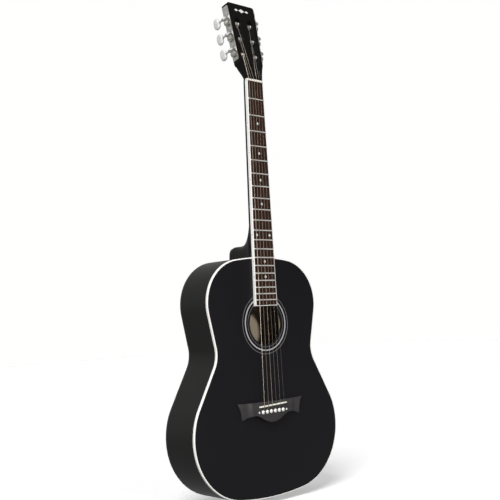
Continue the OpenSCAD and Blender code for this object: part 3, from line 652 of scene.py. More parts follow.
def domedPlate(name, surface, hole):
    insets = [2.2, 4, 8, 13, 19, 26, 34, 43, 53, 64, 74.9]
    bm = bmesh.new()
    layers = []
    for shift in (0, bodyShape["plate"]):
        rows = [[bm.verts.new(surface(x, z, inset, shift) * mm) for x, z in bodyLoop(inset)] for inset in insets]
        n = len(rows[0])
        for a, b in zip(rows, rows[1:]):
            for j in range(n):
                bm.faces.new((a[j], a[(j + 1) % n], b[(j + 1) % n], b[j]))
        last = rows[-1]
        rim = [bm.edges.get((last[j], last[(j + 1) % n])) for j in range(n)]
        cut = []
        if hole:
            cut = [bm.verts.new(surface(bodyShape["holeR"] * math.cos(a), holeZ + bodyShape["holeR"] * math.sin(a), 99, shift) * mm)
                   for a in (2 * math.pi * j / 128 for j in range(128))]
            rim += [bm.edges.new((cut[j], cut[(j + 1) % 128])) for j in range(128)]
        bmesh.ops.triangle_fill(bm, use_beauty=True, edges=rim)
        layers.append((rows[0], cut))
    for a, b in zip(*layers):
        for j in range(len(a)):
            k = (j + 1) % len(a)
            bm.faces.new((a[j], a[k], b[k], b[j]))
    bmesh.ops.recalc_face_normals(bm, faces=bm.faces)
    mesh = bpy.data.meshes.new(name)
    bm.to_mesh(mesh)
    bm.free()
    obj = bpy.data.objects.new(name, mesh)
    bpy.context.scene.collection.objects.link(obj)
    shadeSmooth(obj)
    return obj


def innerFaces(obj, material, test):
    obj.data.materials.append(material)
    for poly in obj.data.polygons:
        if test(poly):
            poly.material_index = 1


def ringSweep(name, sections):
    # sections follow one another round a closed path, and each is a closed profile
    rows, cols = len(sections), len(sections[0])
    points = [p for section in sections for p in section]
    faces = []
    for i in range(rows):
        for j in range(cols):
            k, m = (j + 1) % cols, (i + 1) % rows
            faces.append((i * cols + j, i * cols + k, m * cols + k, m * cols + j))
    return addObject(name, points, faces)


def buildPlates():
    top = domedPlate("soundboardPlate", frontFace, True)
    dress(top, "guitar", finishes["top"], ["soundboard"])
    innerFaces(top, finishes["spruce"], lambda poly: poly.normal.y > 0.6)
    back = domedPlate("backPlate", backFace, False)
    dress(back, "guitar", finishes["body"], ["back_plate"])
    innerFaces(back, finishes["mahogany"], lambda poly: poly.normal.y < -0.6)


def buildSides():
    bind = bodyShape["bind"] - 0.05
    for name, flip in (("trebleSide", 1), ("bassSide", -1)):
        rings = []
        for (x0, z0), (x1, z1) in zip(bodyHalf(0), bodyHalf(bodyShape["side"])):
            outer = [frontFace(x0, z0, 0, bind), backFace(x0, z0, 0, bind)]
            inner = [backFace(x1, z1, 2.2, bind), frontFace(x1, z1, 2.2, bind)]
            rings.append([Vector((flip * p.x, p.y, p.z)) for p in outer + inner])
        wall = loft(name, rings)
        dress(wall, "guitar", finishes["body"], ["treble_side" if flip > 0 else "bass_side"])
        middle = Vector((0, 0, (tailZ + shoulderZ) / 2)) * mm
        innerFaces(wall, finishes["mahogany"], lambda poly: abs(poly.normal.y) < 0.5 and inward(poly, flip))


def inward(poly, flip):
    # a side's inner skin faces the middle line or, near the ends, the middle of the box
    c, n = poly.center / mm, poly.normal
    probe = (c.x + n.x * 1.2, c.z + n.z * 1.2)
    return insideOutline(probe, bodyShape["side"] + 0.3)


outlineCache = {}


def insideOutline(point, inset):
    if inset not in outlineCache:
        outlineCache[inset] = bodyLoop(inset)
    loop = outlineCache[inset]
    inside = False
    for i, (x0, z0) in enumerate(loop):
        x1, z1 = loop[(i + 1) % len(loop)]
        if (z0 > point[1]) != (z1 > point[1]) and point[0] < (x1 - x0) * (point[1] - z0) / (z1 - z0) + x0:
            inside = not inside
    return inside


def buildBindings():
    section = [(2.2, 0), (1.1, 0.0), (0.6, 0.12), (0.22, 0.4), (0.05, 0.8), (0, 1.3), (0, 4.5), (2.2, 4.5)]
    for name, face, look, slot, node in (("topBinding", frontFace, "ivoroid", "white_binding", "top_binding"),
                                         ("backBinding", backFace, "blackStrip", "black_binding", "back_binding")):
        loops = {inset: bodyLoop(inset) for inset, _ in section}
        rows = []
        for i in range(len(loops[0])):
            rows.append([face(*loops[inset][i], inset, drop) for inset, drop in section])
        dress(ringSweep(name, rows), "guitar", finishes[look], [node])


def facing(origin, direction):
    return Matrix.Translation(origin) @ Vector(direction).to_track_quat("Z", "Y").to_matrix().to_4x4()


def annulus(name, place, r0, r1, low, top, turns=160):
    soft = min(0.12, (r1 - r0) / 4)
    profile = [(r0, low), (r0, top - soft), (r0 + soft, top), (r1 - soft, top), (r1, top - soft), (r1, low)]
    rows = []
    for j in range(turns):
        a = 2 * math.pi * j / turns
        rows.append([place @ Vector((r * math.cos(a), r * math.sin(a), h)) for r, h in profile])
    return ringSweep(name, rows)


def buildRosette():
    place = facing((0, topY, holeZ), (0, -1, 0))
    broad = annulus("rosetteBand", place, 52, 54.6, -0.5, 0.1)
    dress(broad, "guitar", finishes["rosette"], ["rosette"])
    fine = [annulus("ring", place, a, b, -0.5, 0.08) for a, b in ((46.2, 47.2), (59.6, 61))]
    dress(joined("rosetteLines", fine), "guitar", finishes["rosetteFine"])


buildPlates()
buildSides()
buildBindings()
buildRosette()
print("body shell is built")

# ---------- bridge ----------


def bezier(p0, p1, p2, p3, n=24):
    out = []
    for i in range(n + 1):
        t = i / n
        u = 1 - t
        out.append(tuple(u ** 3 * a + 3 * u * u * t * b + 3 * u * t * t * c + t ** 3 * d for a, b, c, d in zip(p0, p1, p2, p3)))
    return out


def heightAt(curve, x):
    pts = sorted(curve)
    for (x0, z0), (x1, z1) in zip(pts, pts[1:]):
        if x0 <= x <= x1:
            return z0 + (z1 - z0) * (x - x0) / max(1e-6, x1 - x0)
    return pts[0][1] if x < pts[0][0] else pts[-1][1]


bridgeShape = {"half": high("bridge").x, "thick": 9, "wing": 3.9, "scoop": 17, "inner": 48, "chamfer": 0.9,
               "saddleHalf": 36.5, "saddleHigh": 13, "slant": 2.4, "pinPitch": 10.7}
bridgeZ = pinZ + 13.5


def bridgeStation(x):
    # upper edge, lower edge and thickness at distance x from the middle
    s = bridgeShape
    h = s["half"]
    upper = heightAt(bezier((0, 5.5), (25, 5.5), (60, 6), (h - 1, 7.2)), x)
    belly = bezier((41, -19.7), (28, -22.5), (20, -34.8), (0, -34.8))
    wing = bezier((h - 10.6, -26.2), (66, -21), (52, -18), (41, -19.7))
    tip = bezier((h, 6.8), (h - 5.5, 0), (h - 10.6, -12), (h - 10.3, -26))
    lower = heightAt(belly, x) if x < 41 else heightAt(wing, x) if x < h - 10.6 else heightAt(tip, x)
    rise = s["wing"] + s["scoop"] - math.sqrt(max(0, s["scoop"] ** 2 - max(0, s["inner"] + s["scoop"] - x) ** 2))
    thick = min(s["thick"], rise) if x > s["inner"] - 4 else s["thick"]
    thick -= 0.9 * smoothStep(h - 12, h, x)
    return upper, lower, thick


def buildBridge():
    h = bridgeShape["half"]
    stations = [i * 1.6 for i in range(26)] + [41.2, 42.5, 44, 45, 46, 47] + [48 + i * 0.6 for i in range(14)]
    stations += [57 + i * 2.2 for i in range(9)] + [h - 10.4 + i * 0.65 for i in range(16)] + [h - 0.3, h - 0.02]
    stations = sorted(set(round(x, 3) for x in stations if x < h))
    rings = []
    for x in [-x for x in reversed(stations[1:])] + stations:
        upper, lower, thick = bridgeStation(abs(x))
        c = min(bridgeShape["chamfer"], (upper - lower) * 0.3, thick * 0.4)
        section = [(0, upper), (thick - c, upper), (thick - c * 0.45, upper - c * 0.18), (thick - c * 0.18, upper - c * 0.45),
                   (thick, upper - c), (thick, lower + c), (thick - c * 0.18, lower + c * 0.45), (thick - c * 0.45, lower + c * 0.18),
                   (thick - c, lower), (0, lower)]
        rings.append([Vector((x, topY - t, bridgeZ + z)) for t, z in section])
    dress(loft("bridgeBlock", rings), "guitar", finishes["bridgeWood"], ["bridge"])


def buildSaddle():
    s = bridgeShape
    rise = math.tan(math.radians(s["slant"]))
    rings = []
    for i in range(41):
        x = -s["saddleHalf"] + 2 * s["saddleHalf"] * i / 40
        end = smoothStep(s["saddleHalf"] - 5, s["saddleHalf"], abs(x))
        top = s["saddleHigh"] - 1.6 * end ** 2
        half = 1.5 - 0.25 * (abs(x) > s["saddleHalf"] - 0.4)
        arc = [(top - 1.5 + 1.5 * math.sin(a), half * math.cos(a)) for a in (math.pi * j / 10 for j in range(11))]
        section = [(s["thick"] - 5, half)] + arc + [(s["thick"] - 5, -half)]
        rings.append([Vector((x, topY - t, bridgeZ - 1.5 + x * rise + z)) for t, z in section])
    dress(loft("saddleBone", rings), "guitar", finishes["bone"], ["saddle"])


def buildPins():
    s = bridgeShape
    head = [(0, -14), (1.7, -14), (2.4, -2), (2.4, -0.2), (3.6, -0.1), (3.9, 0.25), (3.95, 0.7), (3.7, 1.3), (3.2, 1.75), (2.9, 1.85),
            (2.75, 2.1), (2.5, 2.6), (1.9, 3.0), (1.1, 3.2), (0, 3.25)]
    pins, dots = [], []
    for i in range(6):
        place = facing(((i - 2.5) * s["pinPitch"], topY - s["thick"], pinZ), (0, -1, 0))
        pins.append(lathe("pin", head, place, 28))
        dots.append(lathe("pinEye", [(0, 2.9), (0.95, 2.9), (0.95, 3.24), (0.6, 3.29), (0, 3.3)], place, 20))
    dress(joined("bridgePinSet", pins), "guitar", finishes["pinPlastic"], ["bridge_pins"])
    dress(joined("bridgePinEyes", dots), "guitar", finishes["blackStrip"])
    marks = []
    for x in (-36.5, 36.5):
        place = facing((x, topY - s["thick"], pinZ), (0, -1, 0))
        marks.append(lathe("mark", [(0, -0.6), (2, -0.6), (2, 0.02), (1.8, 0.06), (0, 0.07)], place, 32))
    dress(joined("bridgeDotPair", marks), "guitar", finishes["pearl"], ["bridge_dots"])


def buildEndPin():
    middle = (low("end_pin") + high("end_pin")) / 2
    place = facing((0, middle.y, low("end_pin").z), (0, 0, 1))
    profile = [(0, 0), (2.4, 0.08), (4.3, 0.4), (5.8, 1.1), (6.6, 2.1), (6.8, 2.9), (6.6, 3.6), (5.9, 4.2), (4.9, 4.7), (4.6, 5.4),
               (4.6, 8.6), (5.0, 9.3), (6.0, 10.1), (6.2, 10.6), (6.0, 10.8), (4, 10.8), (4, 33), (0, 33)]
    dress(lathe("endPinTurned", profile, place, 48), "guitar", finishes["pinPlastic"], ["end_pin"])


buildBridge()
buildSaddle()
buildPins()
buildEndPin()
print("bridge is built")

# ---------- neck, heel and head ----------

headShape = {"tilt": 11, "length": 169.5, "thick": 18, "veneer": 1.5, "foot": 30.6, "top": 36.5, "flare": 36, "slotX": 16.5,
             "slotW": 15, "slot0": 41, "slot1": 137}
headFaceY = boardY + 2
headTaper = math.atan((headShape["top"] - headShape["foot"]) / headShape["length"])
headPlace = Matrix.Translation((0, headFaceY, headZ)) @ Matrix.Rotation(math.radians(-headShape["tilt"]), 4, "X")
neckShape = {"nutD": 13.5, "heelD": 16.5, "nutW": 43, "endW": 58, "heelDeep": 86, "heelFrom": 10}


def boardHalf(z):
    s = neckShape
    return (s["nutW"] + (s["endW"] - s["nutW"]) * (nutZ - z) / (nutZ - boardEndZ)) / 2


def sideX(z):
    return headShape["foot"] + z * math.tan(headTaper)


def headEdge():
    # right edge of the head from the nut to the top
    s = headShape
    flare = bezier((21.7, 0.2), (24.4, 14), (s["foot"] - 4, 24), (sideX(s["flare"]), s["flare"]), 14)
    corner = arcPoints((sideX(s["length"] - 6) - 5.5, s["length"] - 5.5), 5.5, 4, 90, 8)
    return flare + corner + [(sideX(s["length"] - 6) - 5.5, s["length"])]


def slotLoop(side):
    s = headShape
    r = s["slotW"] / 2
    return (arcPoints((side * s["slotX"], s["slot0"] + r), r, 180, 360, 16) + [(side * s["slotX"] + r, s["slot0"] + r)]
            + arcPoints((side * s["slotX"], s["slot1"] - r), r, 0, 180, 16) + [(side * s["slotX"] - r, s["slot1"] - r)])


def onHead(a, b, depth):
    return headPlace @ Vector((a, depth, b))


def roundedSection(half, depth, blunt, n=32):
    # from a D (blunt 0) to a box with soft corners (blunt 1)
    side, back = 1 - 0.82 * blunt, 0.8 - 0.62 * blunt
    out = []
    for i in range(n + 1):
        a = math.pi * i / n
        out.append((half * math.copysign(abs(math.cos(a)) ** side, math.cos(a)), depth * max(0, math.sin(a)) ** back))
    return out


def heelHalf(t):
    return 26 - 15 * t ** 0.75


def heelRise(t):
    return 25 + 70 * (1 - t) ** 5 + 3 * t - 3 * t ** 24


def neckLoft():
    s = neckShape
    rings = []
    for i in range(25):
        z = shoulderZ - 1 + (nutZ + 1.5 - shoulderZ) * i / 24
        deep = s["heelD"] + (s["nutD"] - s["heelD"]) * (z - shoulderZ) / (headZ - shoulderZ)
        rings.append([Vector((x, topY + d, z)) for x, d in roundedSection(boardHalf(z), deep, 0)])
    edge = headEdge()
    for z in (3.2, 5, 7.5, 10.5, 14, 18, 22, 26, 31, 36):
        half = heightAt([(b, a) for a, b in edge[:15]], z)
        blunt = smoothStep(0, 30, z)
        section = roundedSection(half, headShape["thick"] - headShape["veneer"], blunt)
        rings.append([onHead(x, z, headShape["veneer"] + d) for x, d in section])
    return loft("neckLoft", rings)


def heelLoft():
    s = neckShape
    rings = []
    for i in range(33):
        t = i / 32
        y = topY + s["heelFrom"] + (s["heelDeep"] - s["heelFrom"]) * t
        arc = [math.pi * j / 32 for j in range(33)]
        rings.append([Vector((heelHalf(t) * math.cos(a), y, shoulderZ - 0.4 + (heelRise(t) + 0.4) * math.sin(a) ** 0.6)) for a in arc])
    return loft("heelLoft", rings)


def apply(obj, mod):
    bpy.context.view_layer.objects.active = obj
    bpy.ops.object.modifier_apply(modifier=mod.name)


def cutAway(obj, cutter):
    mod = obj.modifiers.new("cut", "BOOLEAN")
    mod.operation = "DIFFERENCE"
    mod.solver = "EXACT"
    mod.object = cutter
    apply(obj, mod)
    bpy.data.objects.remove(cutter)


def slotRamp(side):
    x0, x1 = side * headShape["slotX"] - 4, side * headShape["slotX"] + 5
    corners = [(-4, 29), (0.2, 29), (3.4, 46), (-4, 46)]
    pts = [headPlace @ Vector((x, y, z)) for x in (x0, x1) for y, z in corners]
    return addObject("ramp", pts, [(0, 1, 2, 3), (7, 6, 5, 4), (0, 4, 5, 1), (1, 5, 6, 2), (2, 6, 7, 3), (3, 7, 4, 0)], smooth=False)


def buildNeck():
    s = headShape
    right = [p for p in headEdge() if p[1] >= 30]
    outline = right + [(-a, b) for a, b in reversed(right)]
    place = lambda a, b, depth: onHead(a, b, s["veneer"] + depth)
    slab = filledPlate("headSlab", [outline, slotLoop(1), slotLoop(-1)], place, s["thick"] - s["veneer"])
    neck = joined("neckBody", [neckLoft(), heelLoft(), slab])
    mod = neck.modifiers.new("merge", "REMESH")
    mod.mode = "VOXEL"
    mod.voxel_size = 0.8 * mm
    mod.use_smooth_shade = True
    apply(neck, mod)
    blend = neck.vertex_groups.new(name="blend")
    for v in neck.data.vertices:
        p = v.co / mm
        near = smoothStep(shoulderZ - 1, shoulderZ + 4, p.z) * (1 - smoothStep(shoulderZ + 62, shoulderZ + 85, p.z))
        near *= smoothStep(topY + 4, topY + 8, p.y) * (1 - smoothStep(topY + 19, topY + 27, p.y))
        blend.add([v.index], 0.02 + 0.98 * near, "REPLACE")
    mod = neck.modifiers.new("fillet", "SMOOTH")
    mod.factor = 0.7
    mod.iterations = 14
    mod.vertex_group = "blend"
    apply(neck, mod)
    mod = neck.modifiers.new("thin", "DECIMATE")
    mod.ratio = 0.42
    apply(neck, mod)
    for side in (1, -1):
        cutAway(neck, slotRamp(side))
    for poly in neck.data.polygons:
        poly.use_smooth = True
    dress(neck, "guitar", finishes["neck"], ["neck_shaft", "neck_heel", "headstock"])


def buildVeneer():
    s = headShape
    edge = [(21.6, 0.3)] + headEdge()[1:]
    outline = edge + [(-a, b) for a, b in reversed(edge)]
    veneer = filledPlate("headVeneerPlate", [outline, slotLoop(1), slotLoop(-1)], onHead, s["veneer"])
    for side in (1, -1):
        cutAway(veneer, slotRamp(side))
    bevelled(veneer, 0.35, 2)
    dress(veneer, "guitar", finishes["veneer"], ["head_veneer"])
    marks = []
    for x, w, h in ((0, 8, 4.5), (-14, 5, 2.8), (14, 5, 2.8)):
        loop = [(x - w, 155), (x, 155 - h), (x + w, 155), (x, 155 + h)]
        marks.append(filledPlate("lozenge", [loop], lambda a, b, d: onHead(a, b, d - 0.05), 0.5))
    dress(joined("headLozenges", marks), "guitar", finishes["pearl"], ["head_inlay"])


def buildHeelCap():
    arc = [math.pi * j / 40 for j in range(41)]
    loop = [(heelHalf(1) * math.cos(a), shoulderZ + heelRise(1) * math.sin(a) ** 0.6) for a in arc]
    y0 = topY + neckShape["heelDeep"] - 0.4
    cap = filledPlate("heelCapPlate", [loop], lambda a, b, d: Vector((a, y0 + d, b)), high("heel_cap").y - y0)
    bevelled(cap, 0.8, 3)
    dress(cap, "guitar", finishes["blackStrip"], ["heel_cap"])


buildNeck()
buildVeneer()
buildHeelCap()
print("neck and head are built")

# ---------- fretboard, frets and nut ----------

boardShape = {"edge": 1.5, "crown": 400, "frets": 20, "dotR": 2.6, "single": [3, 5, 7, 9, 15, 17], "double": [12], "doubleX": 17,
              "scale": 648, "nutPitch": 7.1, "gauge": [1.35, 1.07, 0.81, 0.61, 0.41, 0.3]}
nutTopY = boardY - 1.7


def fretZ(n):
    return scaleZ + boardShape["scale"] * 2 ** (-n / 12)


def crownY(x):
    return boardY + x * x / (2 * boardShape["crown"])


def buildBoard():
    edge = boardShape["edge"]
    rings, strips = [], {1: [], -1: []}
    z0, z1 = boardEndZ + edge, nutZ - 0.05
    for i in range(41):
        z = z0 + (z1 - z0) * i / 40
        w = boardHalf(z)
        across = [(-1 + 2 * j / 16) * (w - edge) for j in range(17)]
        rings.append([Vector((x, crownY(x), z)) for x in across] + [Vector((w - edge, topY, z)), Vector((edge - w, topY, z))])
        for side in (1, -1):
            y = crownY(w - edge)
            section = [(w - edge, topY), (w - edge, y), (w - 0.7, y + 0.02), (w - 0.3, y + 0.12), (w - 0.08, y + 0.35), (w, y + 0.8), (w, topY)]
            strips[side].append([Vector((side * a, b, z)) for a, b in section])
    board = loft("fretboardWood", rings)
    dress(board, "guitar", finishes["rosewood"], ["fretboard"])
    w = boardHalf(boardEndZ)
    cols = [(-1 + 2 * j / 24) * (w - 0.02) for j in range(25)]
    end = []
    for x in cols:
        y = crownY(min(abs(x), w - edge))
        soft = 0.5 * smoothStep(w - 0.9, w, abs(x))
        section = [(topY, z0), (y + soft, z0), (y + soft, boardEndZ + 0.6), (y + 0.12 + soft, boardEndZ + 0.2),
                   (y + 0.45 + soft, boardEndZ), (topY, boardEndZ)]
        end.append([Vector((x, a, b)) for a, b in section])
    parts = [loft("strip", strips[1]), loft("strip", strips[-1]), loft("strip", end)]
    dress(joined("fretboardEdging", parts), "guitar", finishes["ivoroid"], ["fretboard_binding"])


def buildFrets():
    wires = []
    for n in range(1, boardShape["frets"] + 1):
        z = fretZ(n)
        half = boardHalf(z) - 0.35
        rings = []
        for i in range(25):
            t = -1 + 2 * i / 24
            x = half * math.sin(t * math.pi / 2)
            dressed = 1 - 0.75 * smoothStep(half - 1.6, half, abs(x))
            arc = [math.pi * j / 8 for j in range(9)]
            bead = [(1.05 * dressed * math.sin(a) + 0.02, 1.15 * math.cos(a)) for a in arc]
            rings.append([Vector((x, crownY(x) - h, z + b)) for h, b in [(-0.4, 1.15)] + bead + [(-0.4, -1.15)]])
        wires.append(loft("wire", rings))
    dress(joined("fretWires", wires), "guitar", finishes["fretWire"], ["frets"])


def buildDots():
    spots = [(0, n) for n in boardShape["single"]] + [(s * boardShape["doubleX"], n) for n in boardShape["double"] for s in (1, -1)]
    dots, sides = [], []
    for x, n in spots:
        z = (fretZ(n) + fretZ(n - 1)) / 2
        r = boardShape["dotR"]
        place = facing((x, crownY(x), z), (-x / boardShape["crown"] * -1, -1, 0))
        dots.append(lathe("dot", [(0, -0.8), (r, -0.8), (r, 0.02), (r - 0.15, 0.05), (0, 0.06)], place, 32))
    for n in boardShape["single"] + boardShape["double"]:
        z = (fretZ(n) + fretZ(n - 1)) / 2
        place = facing((-boardHalf(z), boardY + 3, z), (-1, 0, 0))
        sides.append(lathe("dot", [(0, -0.6), (1, -0.6), (1, 0.0), (0.9, 0.02), (0, 0.03)], place, 20))
    dress(joined("fretboardDots", dots), "guitar", finishes["pearl"], ["position_dots"])
    dress(joined("edgeDots", sides), "guitar", finishes["blackStrip"], ["side_dots"])


def buildNut():
    half = low("nut").x * -1
    rings = []
    marks = sorted([(i - 2.5) * boardShape["nutPitch"] + s * w for i in range(6) for s, w in
                    ((-1, boardShape["gauge"][i] / 2 + 0.12), (-1, boardShape["gauge"][i] / 2 + 0.02),
                     (1, boardShape["gauge"][i] / 2 + 0.02), (1, boardShape["gauge"][i] / 2 + 0.12))])
    stops = sorted(set([round(-half + 2 * half * i / 36, 3) for i in range(37)] + [round(m, 3) for m in marks]))
    for x in stops:
        end = smoothStep(half - 1.2, half, abs(x))
        top = nutTopY + 0.5 * (x / half) ** 2 + 0.5 * end
        slot = any(abs(x - (i - 2.5) * boardShape["nutPitch"]) < boardShape["gauge"][i] / 2 + 0.06 for i in range(6))
        top += 0.85 if slot else 0
        z0, z1 = nutZ + 0.02, headZ - 0.05
        section = [(topY, z0), (top + 0.35, z0), (top + 0.1, z0 + 0.12), (top, z0 + 0.4), (top + 0.25, z0 + 1.6), (top + 1.0, z1 - 1.3),
                   (top + 1.8, z1 - 0.3), (top + 2.4, z1), (topY, z1)]
        rings.append([Vector((x, a, b)) for a, b in section])
    dress(loft("nutBone", rings), "guitar", finishes["bone"], ["nut"])


buildBoard()
buildFrets()
buildDots()
buildNut()
print("fretboard is built")

# ---------- tuners ----------

tunerShape = {"axisDeep": 8.5, "roller0": 55, "pitch": 35, "plate": 1.2, "plateW": 17, "plate0": 41.5, "plate1": 162,
              "gearR": 7, "gearX": 4.9, "gearW": 4, "teeth": 14, "wormR": 3.2, "wormRise": 10.4, "lugFront": 1, "lugBack": 13.8,
              "lugT": 2.4, "buttonY": 28, "buttonL": 17, "buttonH": 24, "buttonT": 7.5, "barrelR": 5, "stub": 5,
              "screws": [45.5, 77.5, 112.5, 146, 158.5]}


def sidePlace(side):
    turn = Matrix.Rotation(headTaper, 4, "Y")
    flip = Matrix.Diagonal((side, 1, 1, 1))
    return headPlace @ flip @ Matrix.Translation((headShape["foot"], 0, 0)) @ turn


def tunerPlace(k):
    row = k - 1 if k <= 3 else 6 - k
    return sidePlace(-1 if k <= 3 else 1) @ Matrix.Translation((0, tunerShape["axisDeep"], tunerShape["roller0"] + tunerShape["pitch"] * row))


alongX = Matrix.Rotation(math.pi / 2, 4, "Y")
alongY = Matrix.Rotation(-math.pi / 2, 4, "X")


def slottedScrew(name, r, high, place):
    profile = [(0, -1.0), (r * 0.92, -1.0), (r, 0.05), (r * 0.96, high * 0.35), (r * 0.75, high * 0.72), (r * 0.4, high * 0.95), (0, high)]
    screw = lathe(name, profile, place, 28)
    w, deep = r * 0.14, high * 0.45
    pts = [place @ Vector((x, y, z)) for x in (-w, w) for y in (-r * 1.2, r * 1.2) for z in (deep, high + 1)]
    faces = [(0, 1, 3, 2), (4, 6, 7, 5), (0, 4, 5, 1), (2, 3, 7, 6), (0, 2, 6, 4), (1, 5, 7, 3)]
    cutAway(screw, addObject("slot", pts, faces, smooth=False))
    shadeSmooth(screw, 30)
    return screw


def buildTunerPlate(side):
    t = tunerShape
    place = sidePlace(side)
    y0, y1 = t["axisDeep"] - t["plateW"] / 2, t["axisDeep"] + t["plateW"] / 2
    a, b, r = t["plate0"], t["plate1"], 3
    corners = (arcPoints((y1 - r, b - r), r, 90, 0, 6) + [(y1, b - r)] + arcPoints((y1 - r, a + r), r, 0, -90, 6) + [(y1 - r, a)]
               + arcPoints((y0 + r, a + r), r, -90, -180, 6) + [(y0, a + r)] + arcPoints((y0 + r, b - r), r, 180, 90, 6) + [(y0 + r, b)])
    flat = lambda p, q, d: place @ Vector((0.02 + d, p, q))
    parts = [filledPlate("plate", [corners], flat, t["plate"])]
    for row in range(3):
        middle = t["roller0"] + t["pitch"] * row + t["wormRise"]
        for front, thick in ((t["lugFront"], t["lugT"]), (t["lugBack"], t["lugT"] + 1)):
            top = [(t["gearX"] + 3.7 * math.cos(u), middle + 3.7 * math.sin(u)) for u in (math.pi * (j / 12 - 0.5) for j in range(13))]
            lug = [(0.4, middle - 4.2)] + top + [(0.4, middle + 4.2)]
            parts.append(filledPlate("lug", [lug], lambda p, q, d, f=front: place @ Vector((p, f + d, q)), thick))
    plate = joined("tunerPlateTreble" if side > 0 else "tunerPlateBass", parts)
    bevelled(plate, 0.28, 3)
    dress(plate, "guitar", finishes["nickel"], ["tuner_plate_treble" if side > 0 else "tuner_plate_bass"])


def buildScrews():
    screws = []
    for side in (1, -1):
        for i, z in enumerate(tunerShape["screws"]):
            spin = Matrix.Rotation(0.6 + 1.1 * i + 0.4 * side, 4, "Z")
            place = sidePlace(side) @ Matrix.Translation((tunerShape["plate"], tunerShape["axisDeep"], z)) @ alongX @ spin
            screws.append(slottedScrew("screw", 2.3, 1.0, place))
    dress(joined("plateScrewSet", screws), "guitar", finishes["nickel"], ["plate_screws"])


def wormThread(place, low, high, hand):
    # ridge of a single-start thread wound right-handed on a thin core
    pitch = 2 * math.pi * 6.4 / tunerShape["teeth"]
    rings = []
    for i in range(73):
        z = low + (high - low) * i / 72
        fade = min(1, (z - low) / 0.5, (high - z) / 0.5)
        ring = []
        for j in range(24):
            a = 2 * math.pi * j / 24
            phase = (z / pitch - hand * a / (2 * math.pi)) % 1
            ridge = smoothStep(0.12, 0.36, phase) * (1 - smoothStep(0.64, 0.88, phase))
            r = 2.35 + (tunerShape["wormR"] - 2.35) * ridge * fade
            ring.append(place @ Vector((r * math.cos(a), r * math.sin(a), z)))
        rings.append(ring)
    return loft("thread", rings)


def buildWorm(k):
    t = tunerShape
    place = tunerPlace(k) @ Matrix.Translation((t["gearX"], -t["axisDeep"], t["wormRise"])) @ alongY
    hand = 1 if k > 3 else -1
    f, b = t["lugFront"], t["lugBack"] + t["lugT"] + 1
    shaft = [(0, f - 0.25), (1.2, f - 0.25), (1.6, f + 0.05), (1.6, f + 3), (1.6, b), (3.0, b + 0.22), (3.1, b + 0.6), (3.1, b + 1.7), (2.8, b + 2.2),
             (2.0, b + 2.6), (1.7, b + 4.4), (1.65, t["buttonY"] - 2.6), (2.0, t["buttonY"] - 1.6), (2.5, t["buttonY"] - 1.1),
             (2.6, t["buttonY"] + 0.5), (1.5, t["buttonY"] + 1.5), (1.5, t["buttonY"] + 3), (0, t["buttonY"] + 3)]
    parts = [lathe("shaft", shaft, place, 28), wormThread(place, f + t["lugT"] + 0.2, t["lugBack"] - 0.2, hand)]
    dress(joined(f"wormShaft{k}", parts), f"tuner_{k}", finishes["nickel"], [f"worm_{k}"])


def buildButton(k):
    t = tunerShape
    place = tunerPlace(k) @ Matrix.Translation((t["gearX"], t["buttonY"] - t["axisDeep"] + t["buttonL"] / 2, t["wormRise"]))
    rings = []
    for i in range(21):
        u = -1 + 2 * i / 20
        x = t["buttonT"] / 2 * math.sin(u * math.pi / 2)
        grow = max(0.02, 1 - abs(math.sin(u * math.pi / 2)) ** 3.2) ** (1 / 3.2)
        ring = []
        for j in range(48):
            a = 2 * math.pi * j / 48
            c, s = math.cos(a), math.sin(a)
            y = t["buttonL"] / 2 * math.copysign(abs(c) ** 0.85, c)
            z = t["buttonH"] / 2 * math.copysign(abs(s) ** 0.85, s)
            pinch = 1 - 0.05 * math.exp(-(z / 5) ** 2) * (1 if c < 0 else 0)
            ring.append(place @ Vector((x, y * pinch * (0.86 + 0.14 * grow) * grow ** 0.5, z * (0.86 + 0.14 * grow) * grow ** 0.5)))
        rings.append(ring)
    dress(loft(f"buttonOval{k}", rings), f"tuner_{k}", finishes["button"], [f"button_{k}"])


def gearWheel(place):
    t = tunerShape
    rings = []
    for x, shrink in ((t["gearX"] - t["gearW"] / 2, 0.35), (t["gearX"] - t["gearW"] / 2 + 0.35, 0), (t["gearX"] + t["gearW"] / 2 - 0.35, 0),
                      (t["gearX"] + t["gearW"] / 2, 0.35)):
        ring = []
        for i in range(t["teeth"]):
            for q, drop in ((-0.3, -1.1), (-0.2, -0.5), (-0.13, -0.05), (-0.05, 0), (0.05, 0), (0.13, -0.05), (0.2, -0.5), (0.3, -1.1), (0.4, -1.3)):
                a = 2 * math.pi * (i + q) / t["teeth"]
                r = t["gearR"] + drop - shrink
                ring.append(place @ Vector((x, -r * math.sin(a), r * math.cos(a))))
        rings.append(ring)
    return loft("gear", rings)


